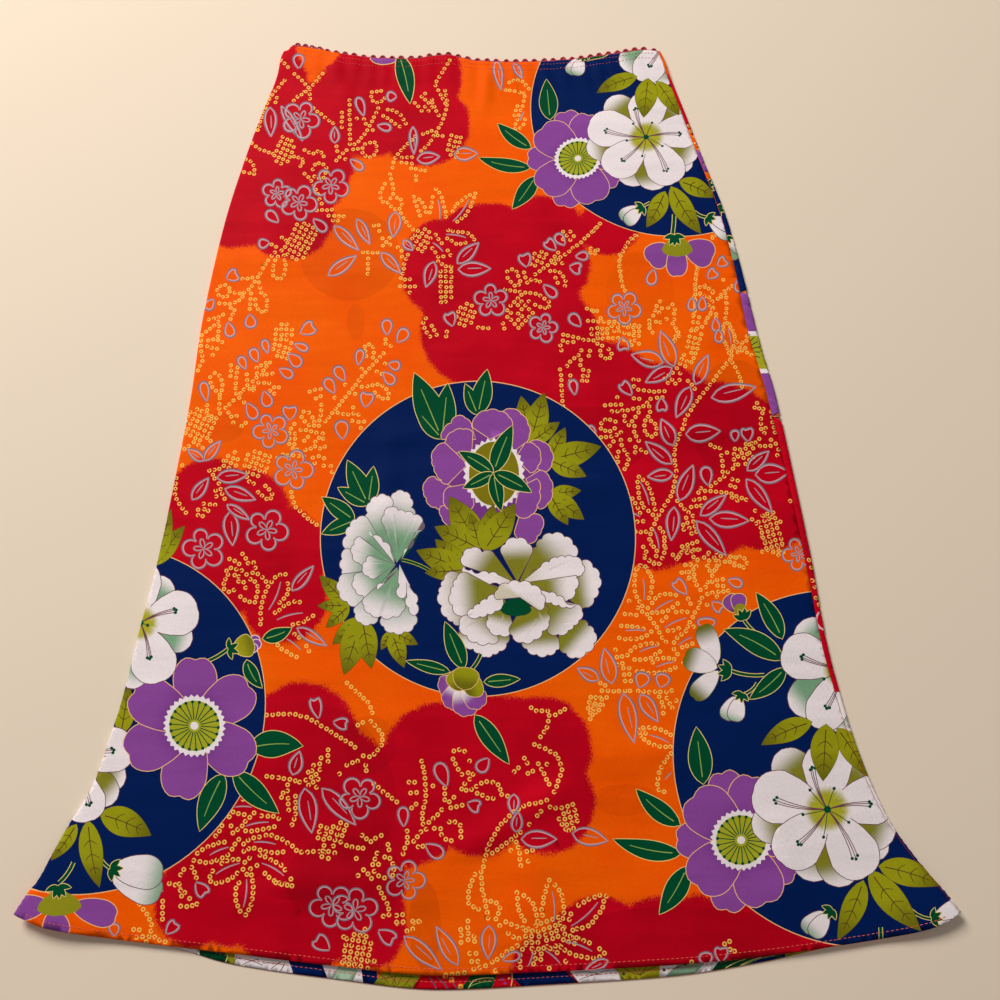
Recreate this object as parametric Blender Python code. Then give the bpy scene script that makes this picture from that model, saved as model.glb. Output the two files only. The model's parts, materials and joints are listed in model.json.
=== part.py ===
"""A flared midi skirt laid flat with its front up: two panels sewn into a tube, and a picot elastic.

The tube is flattened: a top layer and a bottom layer joined by a rolled fold at each side. The side
seams lie a little in from the folds, on top at the right and underneath at the left.
+X is right, +Y is towards the waist, +Z is up, and the origin is the middle of the underside.
Sizes are in millimetres. SolidMesh.make_object turns them into metres.
"""

import math

import bpy
import numpy as np

METRES = 0.001

# Cloth, elastic and the room between them
CLOTH = 1.2
LAYER_GAP = 0.8
SEAM_GAP = 0.3
HEM_EXTRA = 0.4
HEM_DEPTH = 5.0
ELASTIC_THICK = 1.0
ELASTIC_DEPTH = 9.0
PICOT_RISE = 3.9
PICOTS_PER_SIDE = 40

# The flattened tube
SKIRT_LENGTH = 785.0
FLAT_STACK = 2 * CLOTH + LAYER_GAP
WAIST_STACK = 2 * (CLOTH + ELASTIC_THICK) + 3 * SEAM_GAP
STACK_EASE = 30.0
FOLD_STEPS = 5
EDGE_CALM = 45.0

# Gathers that the elastic draws into the top layer
GATHERS = 24
GATHER_RISE = 0.6
GATHER_REACH = 40.0
GATHER_SWAY = 0.22

# Columns across a layer: close together near the folds, even in between. Even all the way at the gathers
FOLD_COLUMNS = (0.0, 10.0, 22.0, 36.0, 52.0, 70.0, 92.0)
GATHER_COLUMNS = 4 * GATHERS
FRONT_COLUMNS = 22
BACK_COLUMNS = 12
PICOT_STEPS = 5


def table(names, *rows):
    """Rows of numbers as dictionaries, one for each section, fold or corner."""
    return [dict(zip(names.split(), row)) for row in rows]


# The silhouette: where the side folds lie at each height, and how far in the seams are from them
EDGES = table(
    "y left right seam",
    (-353.5, -353.3, 353.3, 2.1),
    (-342, -346.8, 345.2, 2.1),
    (-330, -338.6, 335.4, 2.2),
    (-312, -331.0, 322.5, 2.5),
    (-291, -321.6, 309.2, 2.8),
    (-262, -306.8, 296.8, 3.2),
    (-230, -298.0, 286.6, 3.6),
    (-195, -289.8, 278.4, 4.0),
    (-150, -282.8, 270.4, 4.6),
    (-90, -272.3, 264.3, 5.4),
    (-20, -263.7, 255.3, 6.0),
    (60, -255.4, 243.8, 7.6),
    (115, -252.2, 232.4, 8.2),
    (165, -246.6, 224.3, 6.6),
    (225, -237.6, 212.4, 5.0),
    (290, -223.2, 193.0, 4.2),
    (335, -211.2, 179.6, 3.6),
    (375, -199.6, 167.2, 3.2),
    (397, -196.2, 160.6, 3.2),
    (404.4, -188.0, 156.0, 3.2),
)

# The hem of each layer across the skirt, from the left corner to the right one
HEM = table(
    "across front back",
    (0.000, -355.0, -355.0),
    (0.035, -364.5, -364.5),
    (0.085, -370.5, -370.5),
    (0.160, -377.2, -378.0),
    (0.230, -382.5, -390.5),
    (0.330, -390.5, -400.0),
    (0.450, -397.5, -408.0),
    (0.570, -394.7, -404.3),
    (0.690, -390.5, -399.0),
    (0.790, -384.5, -389.0),
    (0.860, -378.0, -378.8),
    (0.930, -370.5, -370.5),
    (0.970, -364.0, -364.0),
    (1.000, -353.5, -353.5),
)

# The cloth's edge at the waist, the same way
WAIST = table(
    "across front back",
    (0.00, 404.4, 404.4),
    (0.07, 400.8, 401.6),
    (0.15, 394.8, 395.8),
    (0.26, 390.0, 391.0),
    (0.33, 389.4, 390.4),
    (0.43, 393.6, 394.6),
    (0.51, 387.4, 388.4),
    (0.62, 385.9, 386.9),
    (0.75, 388.4, 389.4),
    (0.88, 395.2, 396.2),
    (0.96, 399.4, 400.0),
    (1.00, 397.4, 397.4),
)

# Soft folds in the top layer: a line from (x0, y0) to (x1, y1) that bows sideways
FOLDS = table(
    "x0 y0 x1 y1 bow half_width rise",
    (-235, -360, -25, -318, -6, 20, 2.2),
    (-50, -322, 82, -245, 5, 18, 2.4),
    (66, -244, 150, -238, 0, 15, 1.5),
    (116, 19, 236, 24, -3, 14, 1.8),
    (-98, 18, -52, 22, 0, 11, 1.0),
    (46, 60, 96, 62, 1, 11, 1.0),
    (58, -20, 112, -22, 1, 12, 1.0),
    (-88, -84, -86, 52, 2, 15, 1.2),
    (0, 386, -6, 330, 1, 10, 1.4),
    (-150, 396, -128, 338, 2, 12, 1.2),
    (96, 390, 112, 350, 1, 10, 0.9),
    (-290, -170, -268, -108, 3, 16, 1.8),
    (-160, -392, -148, -300, 3, 26, 1.8),
    (30, -400, 36, -290, -4, 30, 1.6),
    (150, -396, 128, -300, 3, 26, 1.5),
    (-214, 210, -150, 120, 3, 22, 0.9),
    (150, 230, 196, 120, -3, 20, 0.9),
    (232, -372, 208, -270, 4, 22, 1.5),
)

# Hem corners that stand a little off the surface
LIFTS = table(
    "x y reach rise",
    (-353, -356, 92, 6.5),
    (353, -354, 72, 5.5),
)

# Distances of the rows of points from the hem, up to the gathered stretch, then from the waist
HEM_ROWS = (0.0, 4.4, 5.6, 16.0, 30.0, 48.0, 68.0, 92.0)
BODY_ROWS = 20
WAIST_ROWS = (42.0, 26.0, 16.0, 9.0, 0.0)


def smooth_curve(rows, along, value):
    """A smooth function through a table's points that never overshoots them."""
    x = np.array([row[along] for row in rows], float)
    y = np.array([row[value] for row in rows], float)
    slope = np.diff(y) / np.diff(x)
    inner = [0.0 if a * b <= 0 else 2 * a * b / (a + b) for a, b in zip(slope, slope[1:])]
    tangent = np.array([slope[0], *inner, slope[-1]])

    def curve(at):
        at = min(max(at, x[0]), x[-1])
        i = min(int(np.searchsorted(x, at, side="right")) - 1, len(x) - 2)
        step = x[i + 1] - x[i]
        t = (at - x[i]) / step
        rest = 1 - t
        ends = y[i] * (1 + 2 * t) * rest * rest + y[i + 1] * (1 + 2 * rest) * t * t
        turns = tangent[i] * t * rest * rest - tangent[i + 1] * rest * t * t
        return float(ends + step * turns)

    return curve


LEFT_EDGE = smooth_curve(EDGES, "y", "left")
RIGHT_EDGE = smooth_curve(EDGES, "y", "right")
SEAM_INSET = smooth_curve(EDGES, "y", "seam")
HEM_LINE = {layer: smooth_curve(HEM, "across", layer) for layer in ("front", "back")}
WAIST_LINE = {layer: smooth_curve(WAIST, "across", layer) for layer in ("front", "back")}


def mix(a, b, share):
    return a + (b - a) * share


def ease(share):
    """0 to 1 with level ends."""
    share = min(max(share, 0.0), 1.0)
    return share * share * (3 - 2 * share)


def fold_rise(x, y):
    """Height that the soft folds add to the top layer."""
    total = 0.0
    for fold in FOLDS:
        run_x = fold["x1"] - fold["x0"]
        run_y = fold["y1"] - fold["y0"]
        length = math.hypot(run_x, run_y)
        along = ((x - fold["x0"]) * run_x + (y - fold["y0"]) * run_y) / length**2
        if not 0 < along < 1:
            continue
        aside = ((x - fold["x0"]) * run_y - (y - fold["y0"]) * run_x) / length
        aside -= fold["bow"] * 4 * along * (1 - along)
        across = ease(1 - abs(aside) / fold["half_width"])
        ends = ease(3 * min(along, 1 - along))
        total += fold["rise"] * across * ends
    return total


def corner_lift(x, y):
    """Height of the underside above the surface that the skirt lies on."""
    total = 0.0
    for corner in LIFTS:
        near = 1 - math.hypot(x - corner["x"], y - corner["y"]) / corner["reach"]
        total += corner["rise"] * ease(near)
    return total


class Section:
    """The flattened tube, cut across at one share of the way from the hem to the waist."""

    def __init__(self, up):
        self.up = up
        inside = min(up, 1.0)
        left_y = mix(HEM_LINE["front"](0), WAIST_LINE["front"](0), inside)
        right_y = mix(HEM_LINE["front"](1), WAIST_LINE["front"](1), inside)
        self.left = LEFT_EDGE(left_y)
        self.right = RIGHT_EDGE(right_y)
        self.seam = SEAM_INSET((left_y + right_y) / 2)
        from_waist = (1 - inside) * SKIRT_LENGTH
        near_waist = 1 - ease((from_waist - ELASTIC_DEPTH) / STACK_EASE)
        self.stack = mix(FLAT_STACK, WAIST_STACK, near_waist)
        self.gather = GATHER_RISE * (1 - ease((from_waist - ELASTIC_DEPTH) / GATHER_REACH))
        self.radius = self.stack / 2

    def share_across(self, x):
        return (x - self.left) / (self.right - self.left)

    def height_of_line(self, layer, x):
        across = min(max(self.share_across(x), 0.0), 1.0)
        return mix(HEM_LINE[layer](across), WAIST_LINE[layer](across), min(self.up, 1.0))

    def top(self, x, inset):
        """A point of the top layer, inset below its outer surface."""
        y = self.height_of_line("front", x)
        calm = ease(min(x - self.left, self.right - x) / EDGE_CALM)
        wave = self.share_across(x) * GATHERS
        wave += GATHER_SWAY * math.sin(wave * 0.9)
        waves = self.gather * (0.5 - 0.5 * math.cos(2 * math.pi * wave))
        z = corner_lift(x, y) + self.stack + calm * (fold_rise(x, y) + waves)
        return (x, y, z - inset)

    def bottom(self, x, inset):
        """A point of the bottom layer, inset above its outer surface."""
        y = self.height_of_line("back", x)
        return (x, y, corner_lift(x, y) + inset)

    def fold(self, side, turn, inset):
        """A point of the rolled fold at one side (-1 left, 1 right), turned up from level."""
        reach = self.radius - inset
        edge = self.left if side < 0 else self.right
        x = edge - side * (self.radius - reach * math.cos(turn))
        under = self.height_of_line("back", x)
        over = self.height_of_line("front", x)
        y = mix(under, over, (1 + math.sin(turn)) / 2)
        z = corner_lift(x, y) + self.radius + reach * math.sin(turn)
        return (x, y, z)

    def fold_points(self, side, first, last, inset):
        """The points of one fold between two turns, without its ends."""
        turns = np.linspace(first, last, FOLD_STEPS + 1)[1:-1]
        return [self.fold(side, turn, inset) for turn in turns]

    def hem_extra(self, x, layer):
        """Thickness that the turned hem adds, none near the folds."""
        edge = self.height_of_line(layer, x)
        depth = edge - HEM_LINE[layer](self.share_across(x))
        calm = ease(min(x - self.left, self.right - x) / EDGE_CALM)
        return HEM_EXTRA * calm if depth < HEM_DEPTH else 0.0


def spread(start, end, columns):
    """Places across a layer from one end to the other, with even columns between the close ones."""
    if columns == GATHER_COLUMNS:
        return np.linspace(start, end, columns + 1)
    way = 1 if end > start else -1
    near = [start + way * distance for distance in FOLD_COLUMNS]
    far = [end - way * distance for distance in reversed(FOLD_COLUMNS)]
    return [*near, *np.linspace(near[-1], far[0], columns + 1)[1:-1], *far]


def front_row(section, columns, inner):
    """The front panel: its strip under the left fold, the fold, then the top layer to the seam."""
    wall = CLOTH if inner else 0.0
    start = section.left + section.radius
    under = [section.bottom(x, wall) for x in (section.left + section.seam, start)]
    fold = section.fold_points(-1, -math.pi / 2, math.pi / 2, wall)
    top = []
    for x in spread(start, section.right - section.seam - SEAM_GAP, columns):
        extra = 0.0 if inner else section.hem_extra(x, "front")
        top.append(section.top(x, wall - extra))
    return under + fold + top


def back_row(section, columns, inner):
    """The back panel: its strip over the right fold, the fold, then the bottom layer."""
    wall = CLOTH if inner else 0.0
    start = section.right - section.radius
    over = [section.top(x, wall) for x in (section.right - section.seam, start)]
    fold = section.fold_points(1, math.pi / 2, -math.pi / 2, wall)
    bottom = []
    for x in spread(start, section.left + section.seam + SEAM_GAP, columns):
        extra = section.hem_extra(x, "back") if inner else 0.0
        bottom.append(section.bottom(x, wall + extra))
    return over + fold + bottom


def shares_along(row):
    """How far along its own length each point of a row lies, from 0 to 1."""
    steps = np.linalg.norm(np.diff(np.array(row), axis=0), axis=1)
    return np.concatenate([[0.0], np.cumsum(steps) / steps.sum()])


def band_triangles(low, high, low_shares, high_shares):
    """Triangles between two rows of point numbers that may differ in length."""
    faces = []
    i = 0
    k = 0
    while i < len(low) - 1 or k < len(high) - 1:
        low_is_next = k == len(high) - 1
        if i < len(low) - 1 and k < len(high) - 1:
            low_is_next = low_shares[i] + low_shares[i + 1] <= high_shares[k] + high_shares[k + 1]
        if low_is_next:
            faces.append((low[i], low[i + 1], high[k]))
            i += 1
        else:
            faces.append((low[i], high[k + 1], high[k]))
            k += 1
    return faces


class SolidMesh:
    """Points and faces of one closed solid."""

    def __init__(self):
        self.points = []
        self.faces = []

    def add_row(self, row):
        first = len(self.points)
        self.points.extend(row)
        return list(range(first, len(self.points)))

    def add_band(self, low, high, turned):
        low_shares = shares_along([self.points[number] for number in low])
        high_shares = shares_along([self.points[number] for number in high])
        for face in band_triangles(low, high, low_shares, high_shares):
            self.faces.append(face[::-1] if turned else face)

    def add_wall(self, outer, inner):
        """A wall between two grids of rows, closed all round its rim."""
        for grid, turned in ((outer, False), (inner, True)):
            for low, high in zip(grid, grid[1:]):
                self.add_band(low, high, turned)
        self.add_band(outer[0], inner[0], True)
        self.add_band(outer[-1], inner[-1], False)
        for end, turned in ((0, False), (-1, True)):
            outer_rim = [row[end] for row in outer]
            inner_rim = [row[end] for row in inner]
            self.add_band(outer_rim, inner_rim, turned)

    def make_object(self, name, material):
        mesh = bpy.data.meshes.new(name)
        scaled = [tuple(METRES * value for value in point) for point in self.points]
        mesh.from_pydata(scaled, [], self.faces)
        mesh.validate()
        mesh.shade_smooth()
        mesh.set_sharp_from_angle(angle=math.radians(40))
        mesh.materials.append(material)
        thing = bpy.data.objects.new(name, mesh)
        bpy.context.scene.collection.objects.link(thing)
        return thing


def cloth_material(name, color, roughness):
    material = bpy.data.materials.new(name)
    material.use_nodes = True
    shader = material.node_tree.nodes["Principled BSDF"]
    shader.inputs["Base Color"].default_value = (*color, 1.0)
    shader.inputs["Roughness"].default_value = roughness
    shader.inputs["Metallic"].default_value = 0.0
    return material


def length_stations():
    """Shares of the way from hem to waist where the panels have a row of points."""
    low = list(HEM_ROWS)
    high = [SKIRT_LENGTH - distance for distance in WAIST_ROWS]
    middle = np.linspace(low[-1], high[0], BODY_ROWS + 1)[1:-1]
    return [distance / SKIRT_LENGTH for distance in [*low, *middle, *high]]


def make_panel(name, row_of, plain_columns, waist_columns, material):
    solid = SolidMesh()
    stations = length_stations()
    grids = ([], [])
    for number, up in enumerate(stations):
        gathered = number >= len(stations) - len(WAIST_ROWS)
        columns = waist_columns if gathered else plain_columns
        section = Section(up)
        for inner, grid in enumerate(grids):
            grid.append(solid.add_row(row_of(section, columns, bool(inner))))
    solid.add_wall(*grids)
    return solid.make_object(name, material)


def picot_rise(step):
    """Rise of the elastic's upper edge at one of the steps of a loop: nothing between two loops."""
    return PICOT_RISE * (0.12, 0.62, 1.0, 1.0, 0.62)[step % PICOT_STEPS]


def ring_points(section, inset):
    """All round the flattened tube, inset from its outer surface, from the left fold over the top."""
    steps = PICOTS_PER_SIDE * PICOT_STEPS
    left = section.left + section.radius
    right = section.right - section.radius
    shares = np.linspace(0, 1, steps - FOLD_STEPS + 1)
    half_turn = math.pi / 2
    over = [section.top(mix(left, right, share), inset) for share in shares]
    under = [section.bottom(mix(right, left, share), inset) for share in shares]
    right_fold = section.fold_points(1, half_turn, -half_turn, inset)
    left_fold = section.fold_points(-1, -half_turn, half_turn, inset)
    return over + right_fold + under + left_fold


def make_elastic(material):
    """One ring inside the waist: its foot is straight, its upper edge stands up in small loops."""
    solid = SolidMesh()
    foot = Section(1 - ELASTIC_DEPTH / SKIRT_LENGTH)
    edge = Section(1.0)
    rings = []
    for inset in (CLOTH + SEAM_GAP, CLOTH + SEAM_GAP + ELASTIC_THICK):
        low = ring_points(foot, inset)
        level = ring_points(edge, inset)
        high = []
        for step, (below, at) in enumerate(zip(low, level)):
            beyond = picot_rise(step) / ELASTIC_DEPTH
            high.append(tuple(b + (a - b) * (1 + beyond) for b, a in zip(below, at)))
        rings.append((solid.add_row(low), solid.add_row(high)))
    (low_out, high_out), (low_in, high_in) = rings
    for lower, upper, turned in (
        (low_out, high_out, False),
        (low_in, high_in, True),
        (high_out, high_in, False),
        (low_out, low_in, True),
    ):
        solid.add_band([*lower, lower[0]], [*upper, upper[0]], turned)
    return solid.make_object("waist_elastic", material)


def clear_scene():
    for thing in list(bpy.data.objects):
        bpy.data.objects.remove(thing, do_unlink=True)


def main():
    clear_scene()
    printed = cloth_material("printed_front", (0.82, 0.10, 0.01), 0.62)
    darker = cloth_material("printed_back", (0.55, 0.01, 0.02), 0.62)
    picot = cloth_material("picot_elastic", (0.30, 0.005, 0.02), 0.7)
    make_panel("front_panel", front_row, FRONT_COLUMNS, GATHER_COLUMNS, printed)
    make_panel("back_panel", back_row, BACK_COLUMNS, BACK_COLUMNS, darker)
    make_elastic(picot)


main()
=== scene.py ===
"""The looks of a flared midi skirt laid flat: printed crepe in two panels, a picot elastic, stitching.

The cloth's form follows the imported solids: the same silhouette, folds and lifted corners, as thin
shells. The print is one crisp mesh: every motif is an outline drawn by a small function, and a
constrained triangulation of all outlines gives each face the colour of the outline on top of it.
Sizes are in millimetres, apart from the print's tables, which place motifs by pixels of the
1000-pixel picture that the camera takes. on_cloth() turns such a pixel into a place on the cloth.
"""

import collections
import json
import math
import random

import bpy
import numpy as np
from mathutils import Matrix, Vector
from mathutils.geometry import delaunay_2d_cdt

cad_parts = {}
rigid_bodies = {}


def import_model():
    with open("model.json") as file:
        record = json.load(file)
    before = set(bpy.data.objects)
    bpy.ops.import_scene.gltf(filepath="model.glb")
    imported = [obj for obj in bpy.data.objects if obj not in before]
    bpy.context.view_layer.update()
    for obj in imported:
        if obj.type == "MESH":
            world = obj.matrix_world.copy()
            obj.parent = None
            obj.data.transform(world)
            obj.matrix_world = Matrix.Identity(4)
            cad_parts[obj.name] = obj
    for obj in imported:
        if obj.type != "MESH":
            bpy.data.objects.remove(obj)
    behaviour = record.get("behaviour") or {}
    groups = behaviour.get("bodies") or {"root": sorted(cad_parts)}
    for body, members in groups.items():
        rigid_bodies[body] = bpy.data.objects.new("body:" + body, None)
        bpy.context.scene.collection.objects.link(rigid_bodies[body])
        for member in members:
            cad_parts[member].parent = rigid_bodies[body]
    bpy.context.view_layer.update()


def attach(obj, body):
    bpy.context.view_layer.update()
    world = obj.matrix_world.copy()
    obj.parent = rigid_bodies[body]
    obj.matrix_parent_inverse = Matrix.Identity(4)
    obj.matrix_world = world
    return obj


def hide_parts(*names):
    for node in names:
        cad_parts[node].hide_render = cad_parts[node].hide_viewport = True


METRES = 0.001

# ---------------------------------------------------------------------------------------------
# Camera, and the way from a pixel of its picture to the cloth
# ---------------------------------------------------------------------------------------------

PICTURE = 1000.0
FOCAL_PX = 963.0
TILT = math.radians(14.1)
CAMERA_AT = (8.6, -230.2, 779.0)
CLOTH_LEVEL = 3.2
SENSOR_MM = 36.0


def on_cloth(px, py):
    """The place on the laid cloth, in millimetres, that the camera sees at a pixel."""
    across = np.asarray(px, float) - PICTURE / 2
    down = np.asarray(py, float) - PICTURE / 2
    reach = (CAMERA_AT[2] - CLOTH_LEVEL) / (down * math.sin(TILT) + FOCAL_PX * math.cos(TILT))
    x = CAMERA_AT[0] + reach * across
    y = CAMERA_AT[1] + reach * (FOCAL_PX * math.sin(TILT) - down * math.cos(TILT))
    return np.stack([x, y], axis=-1)


# ---------------------------------------------------------------------------------------------
# The form of the laid skirt, as in the solids
# ---------------------------------------------------------------------------------------------

CLOTH = 0.5
FOLD_WALL = 2.1
FOLD_WALL_FROM = 3.0
SOLID_CLOTH = 1.2
LAYER_GAP = 0.8
ELASTIC_THICK = 1.0
ELASTIC_GAP = 0.3
ELASTIC_DEPTH = 9.0
SKIRT_LENGTH = 785.0
FLAT_STACK = 2 * SOLID_CLOTH + LAYER_GAP
WAIST_STACK = 2 * (SOLID_CLOTH + ELASTIC_THICK) + 3 * ELASTIC_GAP
STACK_EASE = 30.0
EDGE_CALM = 45.0
GATHERS = 24
GATHER_RISE = 0.6
GATHER_REACH = 40.0
GATHER_SWAY = 0.22
PICOTS_PER_SIDE = 40


def table(names, *rows):
    """Rows of numbers as dictionaries with the named columns."""
    return [dict(zip(names.split(), row)) for row in rows]


EDGES = table(
    "y left right seam",
    (-353.5, -353.3, 353.3, 2.1),
    (-342, -346.8, 345.2, 2.1),
    (-330, -338.6, 335.4, 2.2),
    (-312, -331.0, 322.5, 2.5),
    (-291, -321.6, 309.2, 2.8),
    (-262, -306.8, 296.8, 3.2),
    (-230, -298.0, 286.6, 3.6),
    (-195, -289.8, 278.4, 4.0),
    (-150, -282.8, 270.4, 4.6),
    (-90, -272.3, 264.3, 5.4),
    (-20, -263.7, 255.3, 6.0),
    (60, -255.4, 243.8, 7.6),
    (115, -252.2, 232.4, 8.2),
    (165, -246.6, 224.3, 6.6),
    (225, -237.6, 212.4, 5.0),
    (290, -223.2, 193.0, 4.2),
    (335, -211.2, 179.6, 3.6),
    (375, -199.6, 167.2, 3.2),
    (397, -196.2, 160.6, 3.2),
    (404.4, -188.0, 156.0, 3.2),
)

HEM = table(
    "across front back",
    (0.000, -355.0, -355.0),
    (0.035, -364.5, -364.5),
    (0.085, -370.5, -370.5),
    (0.160, -377.2, -378.0),
    (0.230, -382.5, -390.5),
    (0.330, -390.5, -400.0),
    (0.450, -397.5, -408.0),
    (0.570, -394.7, -404.3),
    (0.690, -390.5, -399.0),
    (0.790, -384.5, -389.0),
    (0.860, -378.0, -378.8),
    (0.930, -370.5, -370.5),
    (0.970, -364.0, -364.0),
    (1.000, -353.5, -353.5),
)

WAIST = table(
    "across front back",
    (0.00, 404.4, 404.4),
    (0.07, 400.8, 401.6),
    (0.15, 394.8, 395.8),
    (0.26, 390.0, 391.0),
    (0.33, 389.4, 390.4),
    (0.43, 393.6, 394.6),
    (0.51, 387.4, 388.4),
    (0.62, 385.9, 386.9),
    (0.75, 388.4, 389.4),
    (0.88, 395.2, 396.2),
    (0.96, 399.4, 400.0),
    (1.00, 397.4, 397.4),
)

FOLDS = table(
    "x0 y0 x1 y1 bow half_width rise",
    (-235, -360, -25, -318, -6, 20, 2.2),
    (-50, -322, 82, -245, 5, 18, 2.4),
    (66, -244, 150, -238, 0, 15, 1.5),
    (116, 19, 236, 24, -3, 14, 1.8),
    (-98, 18, -52, 22, 0, 11, 1.0),
    (46, 60, 96, 62, 1, 11, 1.0),
    (58, -20, 112, -22, 1, 12, 1.0),
    (-88, -84, -86, 52, 2, 15, 1.2),
    (0, 386, -6, 330, 1, 10, 1.4),
    (-150, 396, -128, 338, 2, 12, 1.2),
    (96, 390, 112, 350, 1, 10, 0.9),
    (-290, -170, -268, -108, 3, 16, 1.8),
    (-160, -392, -148, -300, 3, 26, 1.8),
    (30, -400, 36, -290, -4, 30, 1.6),
    (150, -396, 128, -300, 3, 26, 1.5),
    (-214, 210, -150, 120, 3, 22, 0.9),
    (150, 230, 196, 120, -3, 20, 0.9),
    (232, -372, 208, -270, 4, 22, 1.5),
)

LIFTS = table(
    "x y reach rise",
    (-353, -356, 92, 6.5),
    (353, -354, 72, 5.5),
)


def mix(a, b, share):
    return a + (b - a) * share


def ease(share):
    """0 to 1 with level ends."""
    share = np.clip(share, 0.0, 1.0)
    return share * share * (3 - 2 * share)


def smooth_curve(rows, along, value):
    """A smooth function of arrays through a table's points that never overshoots them."""
    x = np.array([row[along] for row in rows], float)
    y = np.array([row[value] for row in rows], float)
    slope = np.diff(y) / np.diff(x)
    inner = [0.0 if a * b <= 0 else 2 * a * b / (a + b) for a, b in zip(slope, slope[1:])]
    tangent = np.array([slope[0], *inner, slope[-1]])

    def curve(at):
        at = np.clip(np.asarray(at, float), x[0], x[-1])
        i = np.clip(np.searchsorted(x, at, side="right") - 1, 0, len(x) - 2)
        step = x[i + 1] - x[i]
        t = (at - x[i]) / step
        rest = 1 - t
        ends = y[i] * (1 + 2 * t) * rest * rest + y[i + 1] * (1 + 2 * rest) * t * t
        turns = tangent[i] * t * rest * rest - tangent[i + 1] * rest * t * t
        return ends + step * turns

    return curve


LEFT_EDGE = smooth_curve(EDGES, "y", "left")
RIGHT_EDGE = smooth_curve(EDGES, "y", "right")
SEAM_INSET = smooth_curve(EDGES, "y", "seam")
HEM_LINE = {layer: smooth_curve(HEM, "across", layer) for layer in ("front", "back")}
WAIST_LINE = {layer: smooth_curve(WAIST, "across", layer) for layer in ("front", "back")}


def fold_rise(x, y):
    """Height that the soft folds add to the top layer."""
    total = np.zeros_like(x)
    for fold in FOLDS:
        run_x = fold["x1"] - fold["x0"]
        run_y = fold["y1"] - fold["y0"]
        length = math.hypot(run_x, run_y)
        along = ((x - fold["x0"]) * run_x + (y - fold["y0"]) * run_y) / length**2
        aside = ((x - fold["x0"]) * run_y - (y - fold["y0"]) * run_x) / length
        aside = aside - fold["bow"] * 4 * along * (1 - along)
        across = ease(1 - np.abs(aside) / fold["half_width"])
        ends = ease(3 * np.minimum(along, 1 - along))
        total += fold["rise"] * across * ends
    return total


def corner_lift(x, y):
    total = np.zeros_like(x)
    for corner in LIFTS:
        near = 1 - np.hypot(x - corner["x"], y - corner["y"]) / corner["reach"]
        total += corner["rise"] * ease(near)
    return total


def crumple(x, y):
    """Faint unevenness of cloth that has been worn and folded."""
    waves = (
        (0.021, 0.013, 0.4, 0.16),
        (-0.017, 0.031, 2.1, 0.14),
        (0.043, -0.027, 4.0, 0.10),
        (0.011, 0.052, 1.3, 0.10),
        (0.071, 0.024, 5.2, 0.06),
        (-0.038, 0.083, 0.9, 0.05),
    )
    total = np.zeros_like(x)
    for along_x, along_y, start, size in waves:
        total += size * np.sin(along_x * x + along_y * y + start)
        total += size * 0.5 * np.sin(1.7 * along_y * x - 1.9 * along_x * y + 3 * start)
    return 0.9 + total


def share_across(x, y):
    """How far across the laid skirt a place is, from 0 at its left edge to 1 at its right."""
    left = LEFT_EDGE(y)
    return (x - left) / (RIGHT_EDGE(y) - left)


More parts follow.
